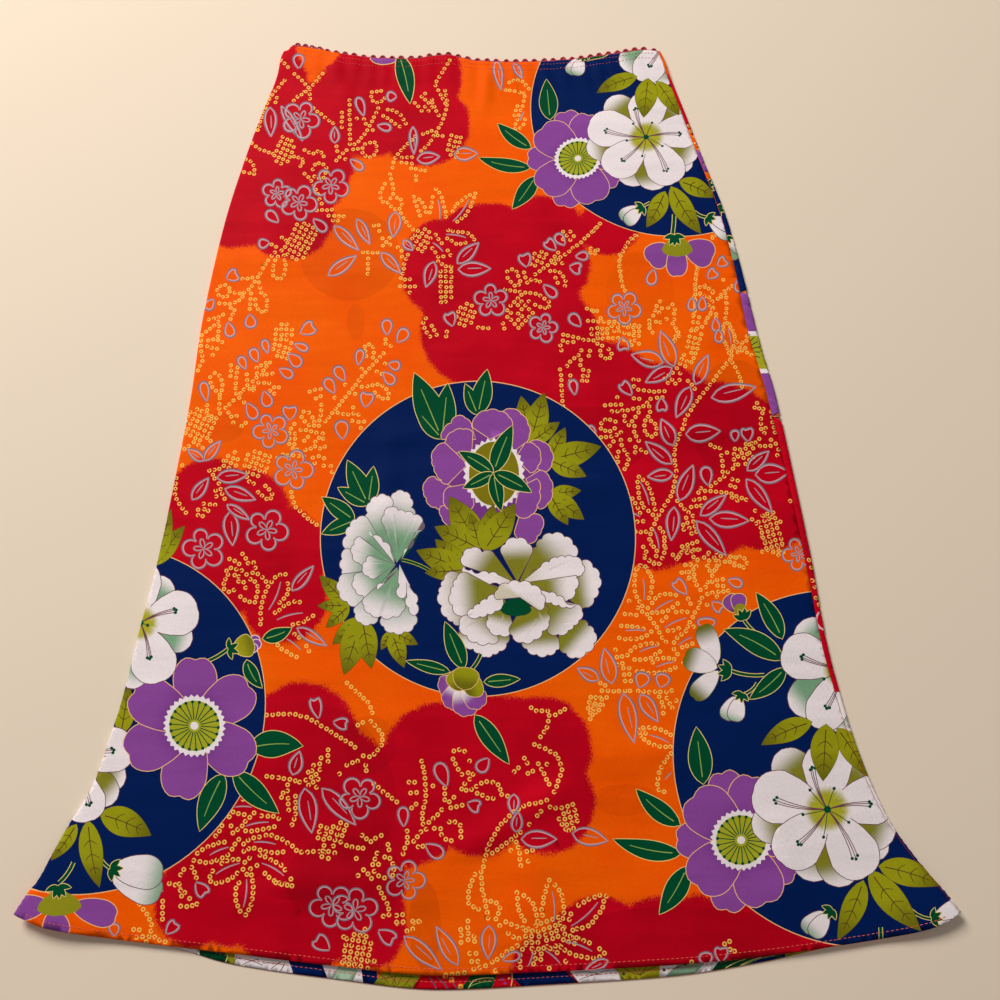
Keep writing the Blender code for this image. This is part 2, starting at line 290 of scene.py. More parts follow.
class Laid:
    """Where the cloth of one panel lies. Places on a panel are x along its layer, unrolled round the
    side folds, and y along the skirt's length."""

    def __init__(self, layer):
        self.layer = layer
        self.top = layer == "front"
        self.side = -1 if self.top else 1
        self.fold_edge, self.seam_edge = (LEFT_EDGE, RIGHT_EDGE) if self.top else (RIGHT_EDGE, LEFT_EDGE)
        self.hem = HEM_LINE[layer]
        self.waist = WAIST_LINE[layer]

    def up(self, x, y):
        """How far up the panel a place is, from 0 at its hem to 1 at its waist."""
        across = np.clip(share_across(x, y), 0, 1)
        hem = self.hem(across)
        return (y - hem) / (self.waist(across) - hem)

    def from_waist(self, x, y):
        return (1 - self.up(x, y)) * SKIRT_LENGTH

    def stack(self, distance):
        near = 1 - ease((np.maximum(distance, 0) - ELASTIC_DEPTH) / STACK_EASE)
        return mix(FLAT_STACK, WAIST_STACK, near)

    def layer_height(self, x, y):
        """Outer surface of the top layer."""
        distance = self.from_waist(x, y)
        calm = ease(np.minimum(x - LEFT_EDGE(y), RIGHT_EDGE(y) - x) / EDGE_CALM)
        wave = share_across(x, y) * GATHERS
        wave = wave + GATHER_SWAY * np.sin(wave * 0.9)
        reach = 1 - ease((np.maximum(distance, 0) - ELASTIC_DEPTH) / GATHER_REACH)
        waves = GATHER_RISE * reach * (0.5 - 0.5 * np.cos(2 * math.pi * wave))
        rise = fold_rise(x, y) + waves + crumple(x, y) * ease(distance / 60)
        return corner_lift(x, y) + self.stack(distance) + calm * rise

    def place(self, x, y, inset=0.0):
        """Points of the panel at unrolled places, inset from its outer surface."""
        edge = self.fold_edge(y)
        radius = self.stack(self.from_waist(x, y)) / 2
        axis = edge - self.side * radius
        past = self.side * (x - axis)
        inset = inset * np.where(past > -FOLD_WALL_FROM, FOLD_WALL, 1.0)
        turn = np.clip(past / radius, 0, math.pi)
        under = np.maximum(past - math.pi * radius, 0)
        reach = radius - inset
        bend_x = axis + self.side * (reach * np.sin(turn)) - self.side * under
        lift = corner_lift(bend_x, y)
        if self.top:
            flat_z = self.layer_height(x, y) - inset
            bend_z = lift + radius + reach * np.cos(turn)
        else:
            flat_z = corner_lift(x, y) + inset
            bend_z = lift + radius - reach * np.cos(turn)
        flat = past <= 0
        return np.stack([np.where(flat, x, bend_x), y, np.where(flat, flat_z, bend_z)], axis=-1)

    def side_edge(self, end, up):
        """Unrolled places up the panel's left edge (end 0) or right edge (end 1)."""
        y = mix(self.hem(end), self.waist(end), up)
        if (end == 0) == self.top:
            radius = self.stack(self.from_waist(self.fold_edge(y), y)) / 2
            x = self.fold_edge(y) + self.side * (math.pi * radius - 2 * radius + SEAM_INSET(y))
        else:
            x = self.seam_edge(y) + self.side * (SEAM_INSET(y) + ELASTIC_GAP)
        return np.stack([x, y], axis=-1)

    def outline(self, step=7.0):
        """The panel's edge as one loop of unrolled places, hem first, from left to right."""
        up = np.linspace(0, 1, int(SKIRT_LENGTH / step))
        left = self.side_edge(0, up)
        right = self.side_edge(1, up)

        def crossing(line, a, b, count):
            x = np.linspace(a[0], b[0], count)[1:-1]
            y = mix(a[1], b[1], (x - a[0]) / (b[0] - a[0]))
            return np.stack([x, line(np.clip(share_across(x, y), 0, 1))], axis=-1)

        hem = crossing(self.hem, left[0], right[0], int(700 / step) * 2)
        waist = crossing(self.waist, right[-1], left[-1], int(350 / step) * 3)
        return np.concatenate([left[:1], hem, right, waist, left[:0:-1]])


# ---------------------------------------------------------------------------------------------
# Colours
# ---------------------------------------------------------------------------------------------

ORANGE = (255, 96, 0)
RED = (203, 2, 30)
BLUE = (2, 30, 88)
PURPLE = (142, 74, 160)
DARK_PURPLE = (124, 60, 142)
GREEN = (0, 76, 46)
OLIVE = (158, 158, 22)
DARK_OLIVE = (112, 108, 18)
LEAF_VEIN = (92, 62, 30)
RIB_GREEN = (150, 180, 90)
HEART_OLIVE = (150, 148, 30)
HEART_YELLOW = (176, 172, 42)
WHITE = (246, 236, 240)
CREAM = (240, 214, 130)
PEACH = (250, 196, 132)
DOT = (255, 206, 98)
MIST_GREEN = (124, 168, 132)
PETAL_OLIVE = (134, 132, 36)
OUTLINE_BROWN = (110, 66, 84)
LINE_GREY = (80, 92, 112)
LINE_PINK = (228, 182, 192)


def linear(color):
    """Linear colour of an sRGB one with values to 255."""
    share = np.asarray(color, float) / 255
    return np.where(share <= 0.04045, share / 12.92, ((share + 0.055) / 1.055) ** 2.4)


# ---------------------------------------------------------------------------------------------
# Outlines, in pixels of the picture
# ---------------------------------------------------------------------------------------------


def bowed(start, end, bow, count):
    """A line from start to end that bows sideways by a share of its length."""
    start = np.asarray(start, float)
    end = np.asarray(end, float)
    t = np.linspace(0, 1, count)[:, None]
    run = end - start
    aside = np.array([run[1], -run[0]])
    return start + run * t + aside * bow * 4 * t * (1 - t)


def normals_of(line, closed=False):
    if closed:
        run = np.roll(line, -1, axis=0) - np.roll(line, 1, axis=0)
    else:
        run = np.gradient(line, axis=0)
    size = np.maximum(np.hypot(run[:, 0], run[:, 1]), 1e-9)
    return np.stack([run[:, 1], -run[:, 0]], axis=-1) / size[:, None]


def beside(run):
    """The unit vector at a right angle to a run."""
    return np.array([run[1], -run[0]]) / np.hypot(*run)


def turned_area(loop):
    """The area inside a loop of places, above 0 if it turns anticlockwise."""
    x, y = loop.T
    return np.sum(x * np.roll(y, -1) - y * np.roll(x, -1)) / 2


def ribbon(line, width):
    """The outline of a stroke along a line, as wide as one number or one for each point."""
    line = np.asarray(line, float)
    half = np.broadcast_to(np.asarray(width, float) / 2, (len(line),))[:, None]
    aside = normals_of(line) * half
    return np.concatenate([line + aside, (line - aside)[::-1]])


def grown(outline, by):
    """An outline moved outwards."""
    return outline + normals_of(outline, closed=True) * by * (1 if turned_area(outline) > 0 else -1)


def disc(center, radius, count=72, flat=1.0):
    angle = np.linspace(0, 2 * math.pi, count, endpoint=False)
    ring = np.stack([np.cos(angle), np.sin(angle) * flat], axis=-1)
    return np.asarray(center, float) + radius * ring


def spoke(center, angle, reach):
    """The place at a reach from a centre, at an angle in degrees."""
    turn = math.radians(angle)
    return np.asarray(center, float) + reach * np.array([math.cos(turn), math.sin(turn)])


def leaf_outline(root, tip, width, bow=0.0, count=13):
    """A pointed leaf, fuller near its root than near its tip."""
    spine = bowed(root, tip, bow, count)
    t = np.linspace(0, 1, count)
    half = width / 2 * np.sin(math.pi * t**0.8) ** 0.9
    aside = normals_of(spine) * half[:, None]
    return np.concatenate([spine + aside, (spine - aside)[-2:0:-1]])


def fan_outline(root, tip, width, scallops=5, depth=0.05, notch=0.0, neck=0.5):
    """A petal that opens from its root to a broad end with scallops or a notch."""
    root = np.asarray(root, float)
    run = np.asarray(tip, float) - root
    aside = beside(run)
    shoulder = 0.66
    t = np.linspace(0, 1, 7)[:-1]
    side = width / 2 * np.sin(math.pi / 2 * t) ** neck * 0.98
    up_side = root + run * (shoulder * t)[:, None] + aside * side[:, None]
    down_side = root + run * (shoulder * t)[:, None] - aside * side[:, None]
    angle = np.linspace(math.pi / 2, -math.pi / 2, max(4 * scallops + 1, 15))
    swell = 1 + depth * np.abs(np.sin(scallops * (angle + math.pi / 2)))
    swell = swell - notch * np.exp(-((angle / 0.28) ** 2))
    along = shoulder + (1 - shoulder) * np.cos(angle) * swell
    across = width / 2 * np.sin(angle) * (1 + 0.4 * depth * np.abs(np.sin(scallops * angle)))
    end = root + run * along[:, None] + aside * across[:, None]
    return np.concatenate([up_side, end, down_side[:0:-1]])


def well_turned(outline):
    """The outline anticlockwise, from its lowest corner, so that its inside is found reliably."""
    apart = np.hypot(*(outline - np.roll(outline, 1, axis=0)).T) > 1e-4
    outline = outline[apart]
    start = np.lexsort((outline[:, 0], outline[:, 1]))[0]
    outline = np.roll(outline, -start, axis=0)
    before = outline[0] - outline[-1]
    after = outline[1] - outline[0]
    if before[0] * after[1] - before[1] * after[0] < 0:
        outline = np.roll(outline[::-1], 1, axis=0)
    return outline


# The paint of one tie-dye dot: where its ring is, how it is turned and how wide it is open
Ring = collections.namedtuple("Ring", "center turn opening")


def turning(near, far, start, end, share_of):
    """A paint that turns from one colour to another where share_of(places) is from start to end."""
    near = linear(near)
    far = linear(far)

    def paint(places):
        return mix(near, far, ease((share_of(places) - start) / (end - start))[:, None])

    return paint


def shaded(root, tip, near, far, start, end):
    """A paint that turns from one colour to another between a root and a tip."""
    root = np.asarray(root, float)
    run = np.asarray(tip, float) - root
    return turning(near, far, start, end, lambda places: ((places - root) @ run) / (run @ run))


def glow(center, radius, near, far, start, end):
    """A paint that turns from one colour to another away from a centre."""
    center = np.asarray(center, float)
    return turning(near, far, start, end, lambda places: np.hypot(*(places - center).T) / radius)


def strip_places(places):
    """Unrolled places on the back panel for places seen on its strip over the right fold."""
    laid = Laid("back")
    y = places[..., 1]
    radius = laid.stack(laid.from_waist(RIGHT_EDGE(y), y)) / 2
    x = 2 * (RIGHT_EDGE(y) - radius) + math.pi * radius - places[..., 0]
    return np.stack([x, y], axis=-1)


class Print:
    """What is printed on one panel: outlines with a paint each, later ones on top."""

    def __init__(self, seed):
        self.outlines = []
        self.paints = []
        # How much each outline darkens the ground under it: show-through, and painted shade of hollows and
        # folds.
        self.darkenings = []
        self.moves = []
        self.extra = []
        self.random = random.Random(seed)
        self.over_fold = False
        self.stay()

    def put(self, seen, wanted, stretch=(1.0, 1.0)):
        """What is drawn from here on moves from one place on the cloth to another."""
        self.move = (np.array(seen, float), np.array(wanted, float), np.array(stretch, float))

    def stay(self):
        self.put((0, 0), (0, 0))

    def moved(self, places):
        if self.over_fold:
            return strip_places(places)
        seen, wanted, stretch = self.move
        return (places - seen) * stretch + wanted

    def add(self, outline, paint, darkening=0.0):
        """An outline in millimetres. paint is a colour or a function of places in pixels."""
        self.outlines.append(well_turned(np.asarray(outline, float)))
        self.paints.append(paint)
        self.darkenings.append(darkening)
        self.moves.append(self.move)

    def draw(self, outline, paint, darkening=0.0):
        """An outline in pixels of the picture."""
        outline = np.asarray(outline, float)
        self.add(self.moved(on_cloth(outline[:, 0], outline[:, 1])), paint, darkening)

    def stroke(self, line, width, paint):
        self.draw(ribbon(line, width), paint)

    def edged(self, outline, paint, edge, width, fill=None):
        """A filled outline with a line round it, with places inside if its paint turns."""
        self.draw(grown(outline, width), edge)
        self.draw(outline, paint)
        if fill:
            self.fill_points(outline, fill)

    def bunch(self, outlines, paint, edge, width):
        """Filled outlines with one line round them all."""
        for outline in outlines:
            self.draw(grown(outline, width), edge)
        for outline in outlines:
            self.draw(outline, paint)

    def fill_points(self, outline, step):
        """Points inside an outline, so that a shaded paint shows its turn."""
        low = outline.min(0)
        high = outline.max(0)
        xs = np.arange(low[0] + step / 2, high[0], step)
        ys = np.arange(low[1] + step / 2, high[1], step)
        grid = np.stack(np.meshgrid(xs, ys), axis=-1).reshape(-1, 2)
        grid[::2, 1] += step * 0.31
        inside = points_inside(grid, outline)
        if inside.any():
            grid = grid[inside]
            self.extra.append(self.moved(on_cloth(grid[:, 0], grid[:, 1])))


def points_inside(points, outline):
    x, y = points[:, 0][:, None], points[:, 1][:, None]
    x0, y0 = outline[:, 0], outline[:, 1]
    x1, y1 = np.roll(x0, -1), np.roll(y0, -1)
    rise = np.where(y1 == y0, 1e-12, y1 - y0)
    crossed = ((y0 > y) != (y1 > y)) & (x < (x1 - x0) * (y - y0) / rise + x0)
    return crossed.sum(1) % 2 == 1


# ---------------------------------------------------------------------------------------------
# Motifs
# ---------------------------------------------------------------------------------------------


Leaf = collections.namedtuple("Leaf", "tip length bow outline")


def leaves_from(root, tips, width, bow):
    """Leaves from one root to each tip, as wide as a share of their length, bowed by turns."""
    found = []
    for number, tip in enumerate(tips):
        length = math.hypot(tip[0] - root[0], tip[1] - root[1])
        turn = bow * (1 if number % 2 == 0 else -1)
        found.append(Leaf(tip, length, turn, leaf_outline(root, tip, length * width, turn)))
    return found


def dark_leaves(ink, root, tips, width=0.34, bow=0.0):
    """Dark green leaves from one root, edged and ribbed in pale green."""
    leaves = leaves_from(root, tips, width, bow)
    ink.bunch([leaf.outline for leaf in leaves], GREEN, CREAM, 0.75)
    for leaf in leaves:
        spine = bowed(root, leaf.tip, leaf.bow, 9)[1:7]
        ink.stroke(spine, np.linspace(1.1, 0.7, len(spine)), RIB_GREEN)


def olive_leaves(ink, root, tips, width=0.42, bow=0.0):
    """Olive leaves from one root, with brown veins."""
    root = np.asarray(root, float)
    leaves = leaves_from(root, tips, width, bow)
    for leaf in leaves:
        ink.draw(grown(leaf.outline, 0.35), LEAF_VEIN)
    for leaf in leaves:
        ink.draw(leaf.outline, shaded(root, leaf.tip, OLIVE, DARK_OLIVE, 0.35, 1.0))
        ink.fill_points(leaf.outline, 5.0)
        spine = bowed(root, leaf.tip, leaf.bow, 11)
        ink.stroke(spine[1:9], np.linspace(1.1, 0.7, 8), LEAF_VEIN)
        run = (np.asarray(leaf.tip, float) - root) / leaf.length
        aside = np.array([run[1], -run[0]])
        for at in (3, 5, 7):
            reach = leaf.length * width * 0.30 * math.sin(math.pi * (at / 10) ** 0.8)
            for way in (-1, 1):
                end = spine[at] + run * reach * 0.8 + aside * way * reach
                ink.stroke(bowed(spine[at], end, 0.08 * way, 4), (0.9, 0.8, 0.7, 0.5), LEAF_VEIN)


SCALLOP = 9.0


def scalloped_petals(petals, depth=0.26):
    """Root, tip and outline of each petal, with scallops between the places of its edge."""
    found = []
    for petal in petals:
        root, *edge = np.reshape(petal, (-1, 2)).astype(float)
        away = sum(edge) / len(edge) - root
        outline = [root]
        for start, end in zip(edge, edge[1:]):
            run = end - start
            aside = np.array([run[1], -run[0]])
            if aside @ (start + run / 2 - root) < 0:
                aside = -aside
            bumps = max(int(round(np.hypot(*run) / SCALLOP)), 1)
            share = np.linspace(0, 1, bumps * 5 + 1)[:-1]
            height = depth / bumps * np.abs(np.sin(math.pi * bumps * share)) ** 0.62
            outline.extend(start + run * share[:, None] + aside * height[:, None])
        outline.append(edge[-1])
        found.append((root, root + away * 1.25, np.array(outline)))
    return found


def shaded_petals(ink, petals, base, edge_color, plain, start, end):
    """Petals back to front, each from a coloured root to a white scalloped edge. Those whose numbers
    are in plain show their paler back."""
    pale = mix(np.array(WHITE), np.array(base), 0.25)
    for number, (root, tip, shape) in enumerate(scalloped_petals(petals), 1):
        near, turn = (pale, (0.0, 0.5)) if number in plain else (base, (start, end))
        ink.edged(shape, shaded(root, tip, near, WHITE, *turn), edge_color, 0.7, 3.4)


# ---------------------------------------------------------------------------------------------
# The tie-dye dots and the line-drawn motifs
# ---------------------------------------------------------------------------------------------

DOT_OUT = 1.85
DOT_FRAME = 2.0
DOT_PITCH = 4.5
DOT_APART = 3.2
DOT_STRAY = 0.35


def local_scale(py):
    """Pixels of the picture for one millimetre across the cloth at a height in the picture."""
    down = py - PICTURE / 2
    away = down * math.sin(TILT) + FOCAL_PX * math.cos(TILT)
    return away / (CAMERA_AT[2] - CLOTH_LEVEL)


class Dots:
    """Small open rings, as a resist dye leaves them."""

    def __init__(self, ink):
        self.ink = ink
        self.placed = []

    def dot(self, place):
        x, y = self.ink.moved(on_cloth(place[0], place[1]))
        for other_x, other_y in self.placed[-500:]:
            if abs(x - other_x) < DOT_APART and abs(y - other_y) < DOT_APART:
                return
        self.placed.append((x, y))
        opening = self.ink.random.choice((0.0, 0.0, 0.25, 0.4))
        ring = Ring((x, y), self.ink.random.uniform(0, 2 * math.pi), opening)
        corners = ((-1, -1), (1, -1), (1, 1), (-1, 1))
        self.ink.add([(x + DOT_FRAME * right, y + DOT_FRAME * up) for right, up in corners], ring)

    def stray(self, by):
        return self.ink.random.uniform(-by, by)

    def along(self, line):
        """Dots at an even pitch along a line of pixels."""
        line = np.asarray(line, float)
        steps = np.hypot(*np.diff(line, axis=0).T)
        gone = np.concatenate([[0.0], np.cumsum(steps)])
        pitch = DOT_PITCH * local_scale(line[:, 1].mean())
        for at in np.arange(0.0, gone[-1] + pitch * 0.3, pitch):
            place = np.array([np.interp(at, gone, line[:, 0]), np.interp(at, gone, line[:, 1])])
            self.dot(place + [self.stray(DOT_STRAY), self.stray(DOT_STRAY)])

    def patch(self, start, end, across):
        """Rows of dots along a line, with a number of dots across."""
        start = np.asarray(start, float)
        run = np.asarray(end, float) - start
        length = np.hypot(*run)
        aside = beside(run)
        pitch = DOT_PITCH * local_scale(start[1])
        rows = max(int(length / pitch) + 1, 2)
        outermost = (across - 1) / 2
        for row in range(rows):
            thinned = row in (0, rows - 1) and across > 2
            for column in range(across):
                sideways = column - outermost
                if thinned and abs(sideways) > outermost - 0.1 and self.ink.random.random() < 0.7:
                    continue
                wobble = self.stray(0.5)
                place = start + run / length * (row * pitch + wobble)
                self.dot(place + aside * (sideways * pitch + wobble))


def two_sided(line, half, near, far):
    """A paint that turns from one colour to another across a stroke."""
    start = line[:-1]
    run = line[1:] - start
    size = np.maximum(np.hypot(run[:, 0], run[:, 1]), 1e-9)
    aside = np.stack([run[:, 1], -run[:, 0]], axis=-1) / size[:, None]
    near = linear(near)
    far = linear(far)

    def paint(places):
        away = places[:, None] - start
        along = np.clip((away * run).sum(-1) / size**2, 0, 1)
        gap = away - along[..., None] * run
        best = np.argmin((gap**2).sum(-1), axis=1)
        offset = (away[np.arange(len(places)), best] * aside[best]).sum(-1)
        return mix(near, far, np.clip(0.5 + 0.5 * offset / half, 0, 1)[:, None])

    return paint


def double_line(ink, line, width=2.7):
    """A brushed contour line: grey on its outer side, pale on its inner one."""
    line = np.asarray(line, float)
    ends = np.sin(np.linspace(0.3, math.pi - 0.3, len(line))) ** 0.5
    aside = normals_of(line)
    inward = (aside * (line.mean(0) - line)).sum() > 0
    near, far = (LINE_GREY, LINE_PINK) if inward else (LINE_PINK, LINE_GREY)
    ink.draw(ribbon(line, width * ends), two_sided(line, width * 0.42, near, far))


def inner_petal(root, tip, width):
    """The outline of a small rounded petal with few places, for contour drawing."""
    root = np.asarray(root, float)
    run = np.asarray(tip, float) - root
    aside = beside(run)
    t = np.linspace(0, 1, 4)[:-1]
    side = width / 2 * np.sin(math.pi / 2 * t) ** 0.8
    up_side = root + run * (0.62 * t)[:, None] + aside * side[:, None]
    down_side = root + run * (0.62 * t)[:, None] - aside * side[:, None]
    angle = np.linspace(math.pi / 2, -math.pi / 2, 5)
    along = 0.62 + 0.38 * np.cos(angle)
    end = root + run * along[:, None] + aside * (width / 2 * np.sin(angle))[:, None]
    return np.concatenate([up_side, end, down_side[:0:-1]])


def line_leaf(ink, root, tip, width):
    """A leaf drawn in contour with a short midrib."""
    outline = leaf_outline(root, tip, width, 0.0, 8)
    half = len(outline) // 2
    double_line(ink, outline[: half + 1])
    double_line(ink, np.concatenate([outline[half:], outline[:1]]))
    double_line(ink, bowed(root, tip, 0.03, 8)[2:6], 1.3)


def small_petal(ink, root, tip, width, notch=0):
    """A single petal drawn in contour: pointed at its root, round or notched at its tip."""
    root = np.asarray(root, float)
    run = np.asarray(tip, float) - root
    aside = beside(run)
    turn = np.linspace(0.2, 2 * math.pi - 0.45, 15)
    along = 0.5 - 0.5 * np.cos(turn) - 0.2 * notch * np.exp(-(((turn - math.pi) / 0.4) ** 2))
    side = 0.62 * width * np.sin(turn) * np.sin(turn / 2) ** 0.9
    double_line(ink, root + run * along[:, None] + aside * side[:, None])


LOBE_SIZES = (1.1, 0.96, 1.06, 0.88, 1.0)


def line_blossom(ink, center, radius, turn):
    """A plum blossom drawn in contour, with a small star of inner petals."""
    for number, size in enumerate(LOBE_SIZES):
        middle = turn + 72 * number
        heart = spoke(center, middle, radius * 0.66)
        lobe = [spoke(heart, middle + lean, radius * 0.39 * size) for lean in np.linspace(-128, 128, 13)]
        double_line(ink, lobe, 2.6)
        inner = inner_petal(center, spoke(center, middle, radius * 0.52), radius * 0.24)
        double_line(ink, inner, 1.7)


# ---------------------------------------------------------------------------------------------
# Red clouds on the orange ground
# ---------------------------------------------------------------------------------------------

CLOUDS = table(
    "px py radius",
    (424, 125, 46),
    (400, 75, 62),
    (370, 101, 62),
    (275, 160, 80),
    (290, 218, 45),
    (238, 192, 60),
    (285, 80, 50),
    (340, 108, 50),
    (450, 270, 50),
    (450, 262, 48),
    (488, 260, 62),
    (540, 265, 50),
    (545, 235, 42),
    (608, 228, 30),
    (480, 330, 60),
    (540, 340, 60),
    (600, 400, 62),
    (660, 430, 70),
    (720, 455, 75),
    (760, 490, 60),
    (700, 500, 60),
    (655, 510, 60),
    (600, 470, 80),
    (205, 500, 42),
    (245, 515, 45),
    (280, 555, 48),
    (285, 600, 42),
    (215, 560, 60),
    (180, 520, 40),
    (300, 745, 60),
    (330, 790, 62),
    (260, 800, 70),
    (440, 765, 60),
    (500, 755, 58),
    (540, 750, 52),
    (545, 800, 50),
    (480, 800, 52),
    (410, 800, 60),
    (350, 880, 57),
    (300, 890, 75),
    (240, 880, 60),
    (196, 900, 42),
    (366, 925, 41),
    (600, 960, 58),
    (550, 975, 40),
    (660, 965, 62),
    (715, 975, 50),
    (700, 950, 50),
    (762, 946, 45),
    (800, 955, 40),
)

ORANGE_HOLES = table(
    "px py radius",
    (320, 50, 22),
    (316, 66, 12),
    (313, 78, 6),
)


# On the back panel, by unrolled places: what shows beside the right seam
BACK_CLOUDS = table(
    "x y radius",
    (214, 352, 28),
    (236, -60, 100),
    (246, -160, 60),
)


def cloud_edge(x, y):
    """Signed distance to the red clouds' edge in millimetres, positive inside, for places in mm."""
    inside = np.full(x.shape, -1e3)
    for blobs, way in ((CLOUDS, 1), (ORANGE_HOLES, -1)):
        for blob in blobs:
            center = on_cloth(blob["px"], blob["py"])
            radius = blob["radius"] / local_scale(blob["py"])
            reach = radius - np.hypot(x - center[0], (y - center[1]) * 0.97)
            inside = np.maximum(inside, reach) if way > 0 else np.minimum(inside, -reach)
    return inside


def back_cloud_edge(x, y):
    """As cloud_edge(), for the back panel: turned over, and as seen beside the right seam."""
    inside = np.where(x > 190, -1e3, cloud_edge(-x, y))
    for blob in BACK_CLOUDS:
        inside = np.maximum(inside, blob["radius"] - np.hypot(x - blob["x"], y - blob["y"]))
    return inside


# ---------------------------------------------------------------------------------------------
# The centre roundel
# ---------------------------------------------------------------------------------------------


# Each petal: the x and y of its root, then of the places between the scallops of its edge
PURPLE_PETALS = (
    (475.7, 439.4, 442.1, 439.4, 444.2, 430, 451.5, 423.7, 457.8, 416.3, 465.2, 418.8, 471.5, 426.8),
    (471.5, 454.2, 447.3, 452.1, 446.3, 440.5, 453.6, 432.1, 463.1, 430, 472.6, 433.1),
    (510.4, 454.2, 502.7, 413.1, 511.5, 409.6, 521, 415.2, 527.3, 424.7, 528.8, 435.2, 524.1, 443.7),
    (490.5, 439.4, 473.2, 427.9, 476.8, 416.7, 487.3, 411.5, 498.9, 412.1, 508.3, 417.3, 511.9, 427.9),
    (467.3, 464.7, 445.2, 443.7, 435.7, 448.9, 432.6, 460.5, 436.8, 474.2, 446.3, 485.7),
    (515.7, 460.5, 530.4, 442.6, 542, 442.6, 550.4, 451, 551.5, 462.6, 545.2, 472.1),
    (526.2, 479.4, 539.9, 471, 549.4, 479.4, 551.5, 491, 547.3, 503.6, 538.9, 508.9),
    (515.7, 458.4, 525.2, 443.7, 535.7, 446.8, 539.9, 456.3, 537.8, 465.7, 530.4, 473.1),
    (454.7, 487.8, 446.3, 484.7, 434.7, 477.3, 426.3, 481.5, 424.2, 492.1, 429.4, 504.7, 442.1, 509.3),
    (519.9, 515.2, 531.5, 515.2, 541.4, 517.3, 541, 529.9, 532.5, 542.6, 522, 540.5, 514.7, 532),
    (467.3, 500.5, 441, 506.8, 442.1, 517.3, 450.5, 525.7, 465.2, 529.9),
    (471.5, 483.6, 448.4, 487.8, 444.2, 498.4, 448.4, 508.9, 463.1, 512, 473.6, 504.7),
    (519.9, 487.8, 536.8, 479.4, 538.9, 492.1, 536.8, 504.7, 530.4, 515.2, 519.9, 517.3, 514.7, 508.9),
)

MIST_PETALS = (
    (398.9, 555.2, 392, 500.5, 395.8, 493.1, 404.2, 492.5, 410.1, 498.4, 410.9, 507.8, 414.1, 517.3),
    (
        395.8, 561.5, 368.8, 525.7, 368, 513.1, 370.5, 502.6, 377.9, 497.3, 386.3, 496.3, 392.6, 506.8,
        385.2, 525.7,
    ),
    (394.7, 562.6, 367.3, 518.4, 356.8, 519.8, 350.5, 526.8, 346.9, 536.2, 345.7, 548.9, 351.6, 557.3),
    (394.7, 563.6, 347.4, 548.9, 342.7, 559.4, 342.7, 569.9, 347.4, 578.3, 356.8, 580.4),
    (394.7, 566.8, 347.4, 574.1, 339.4, 581.5, 340, 592, 347.4, 601.5, 356.8, 605.7, 365.2, 599.4),
    (
        396.8, 562.6, 384.2, 525.7, 384.8, 515.2, 391.5, 507.8, 398.3, 511.4, 405.2, 513.1, 413.6, 515.2,
        422.7, 522.6, 418.9, 532,
    ),
    (401, 560.4, 422.7, 522.6, 422.1, 529.9, 412.6, 538.4, 407.3, 548.9, 404.2, 553.1),
    (394.7, 563.2, 369.5, 532, 372.6, 536.2, 383.1, 542.6, 390.5, 551),
    (394.1, 563.2, 360, 537.3, 354.7, 544.7, 353.2, 555.2, 358.9, 562.6, 368.4, 563.6),
    (394.7, 565.7, 360, 573.1, 354.1, 580.4, 355.8, 589.9, 363.1, 595.2, 371.6, 597.3),
    (395.8, 564.7, 370.5, 556.2, 363.1, 567.8, 368.4, 576.2, 376.8, 577.3),
    (395.8, 568.9, 356.2, 606.7, 355.8, 614.1, 361, 622.5, 370.5, 623.6, 377.9, 618.3),
    (397.4, 567.8, 381.4, 618.3, 384.2, 626.7, 393.7, 632, 404.2, 631.4, 413.6, 625.7, 415.1, 615.2),
    (
        396.8, 567.8, 364.6, 598.3, 364.6, 605.7, 370.5, 613.1, 381, 615.8, 392.6, 616.2, 401.6, 612,
        402.5, 599.4,
    ),
    (397.9, 569.9, 377.9, 589.9, 380, 583.6, 387.3, 578.3),
    (399.5, 564.7, 398.3, 582.5, 397.4, 588.9, 401.6, 598.3, 405.9, 593.1, 408, 582.5),
    (406.3, 582.5, 407.3, 597.3, 409.4, 607.8, 414.7, 615.2, 416, 603.6, 413.6, 593.1),
)

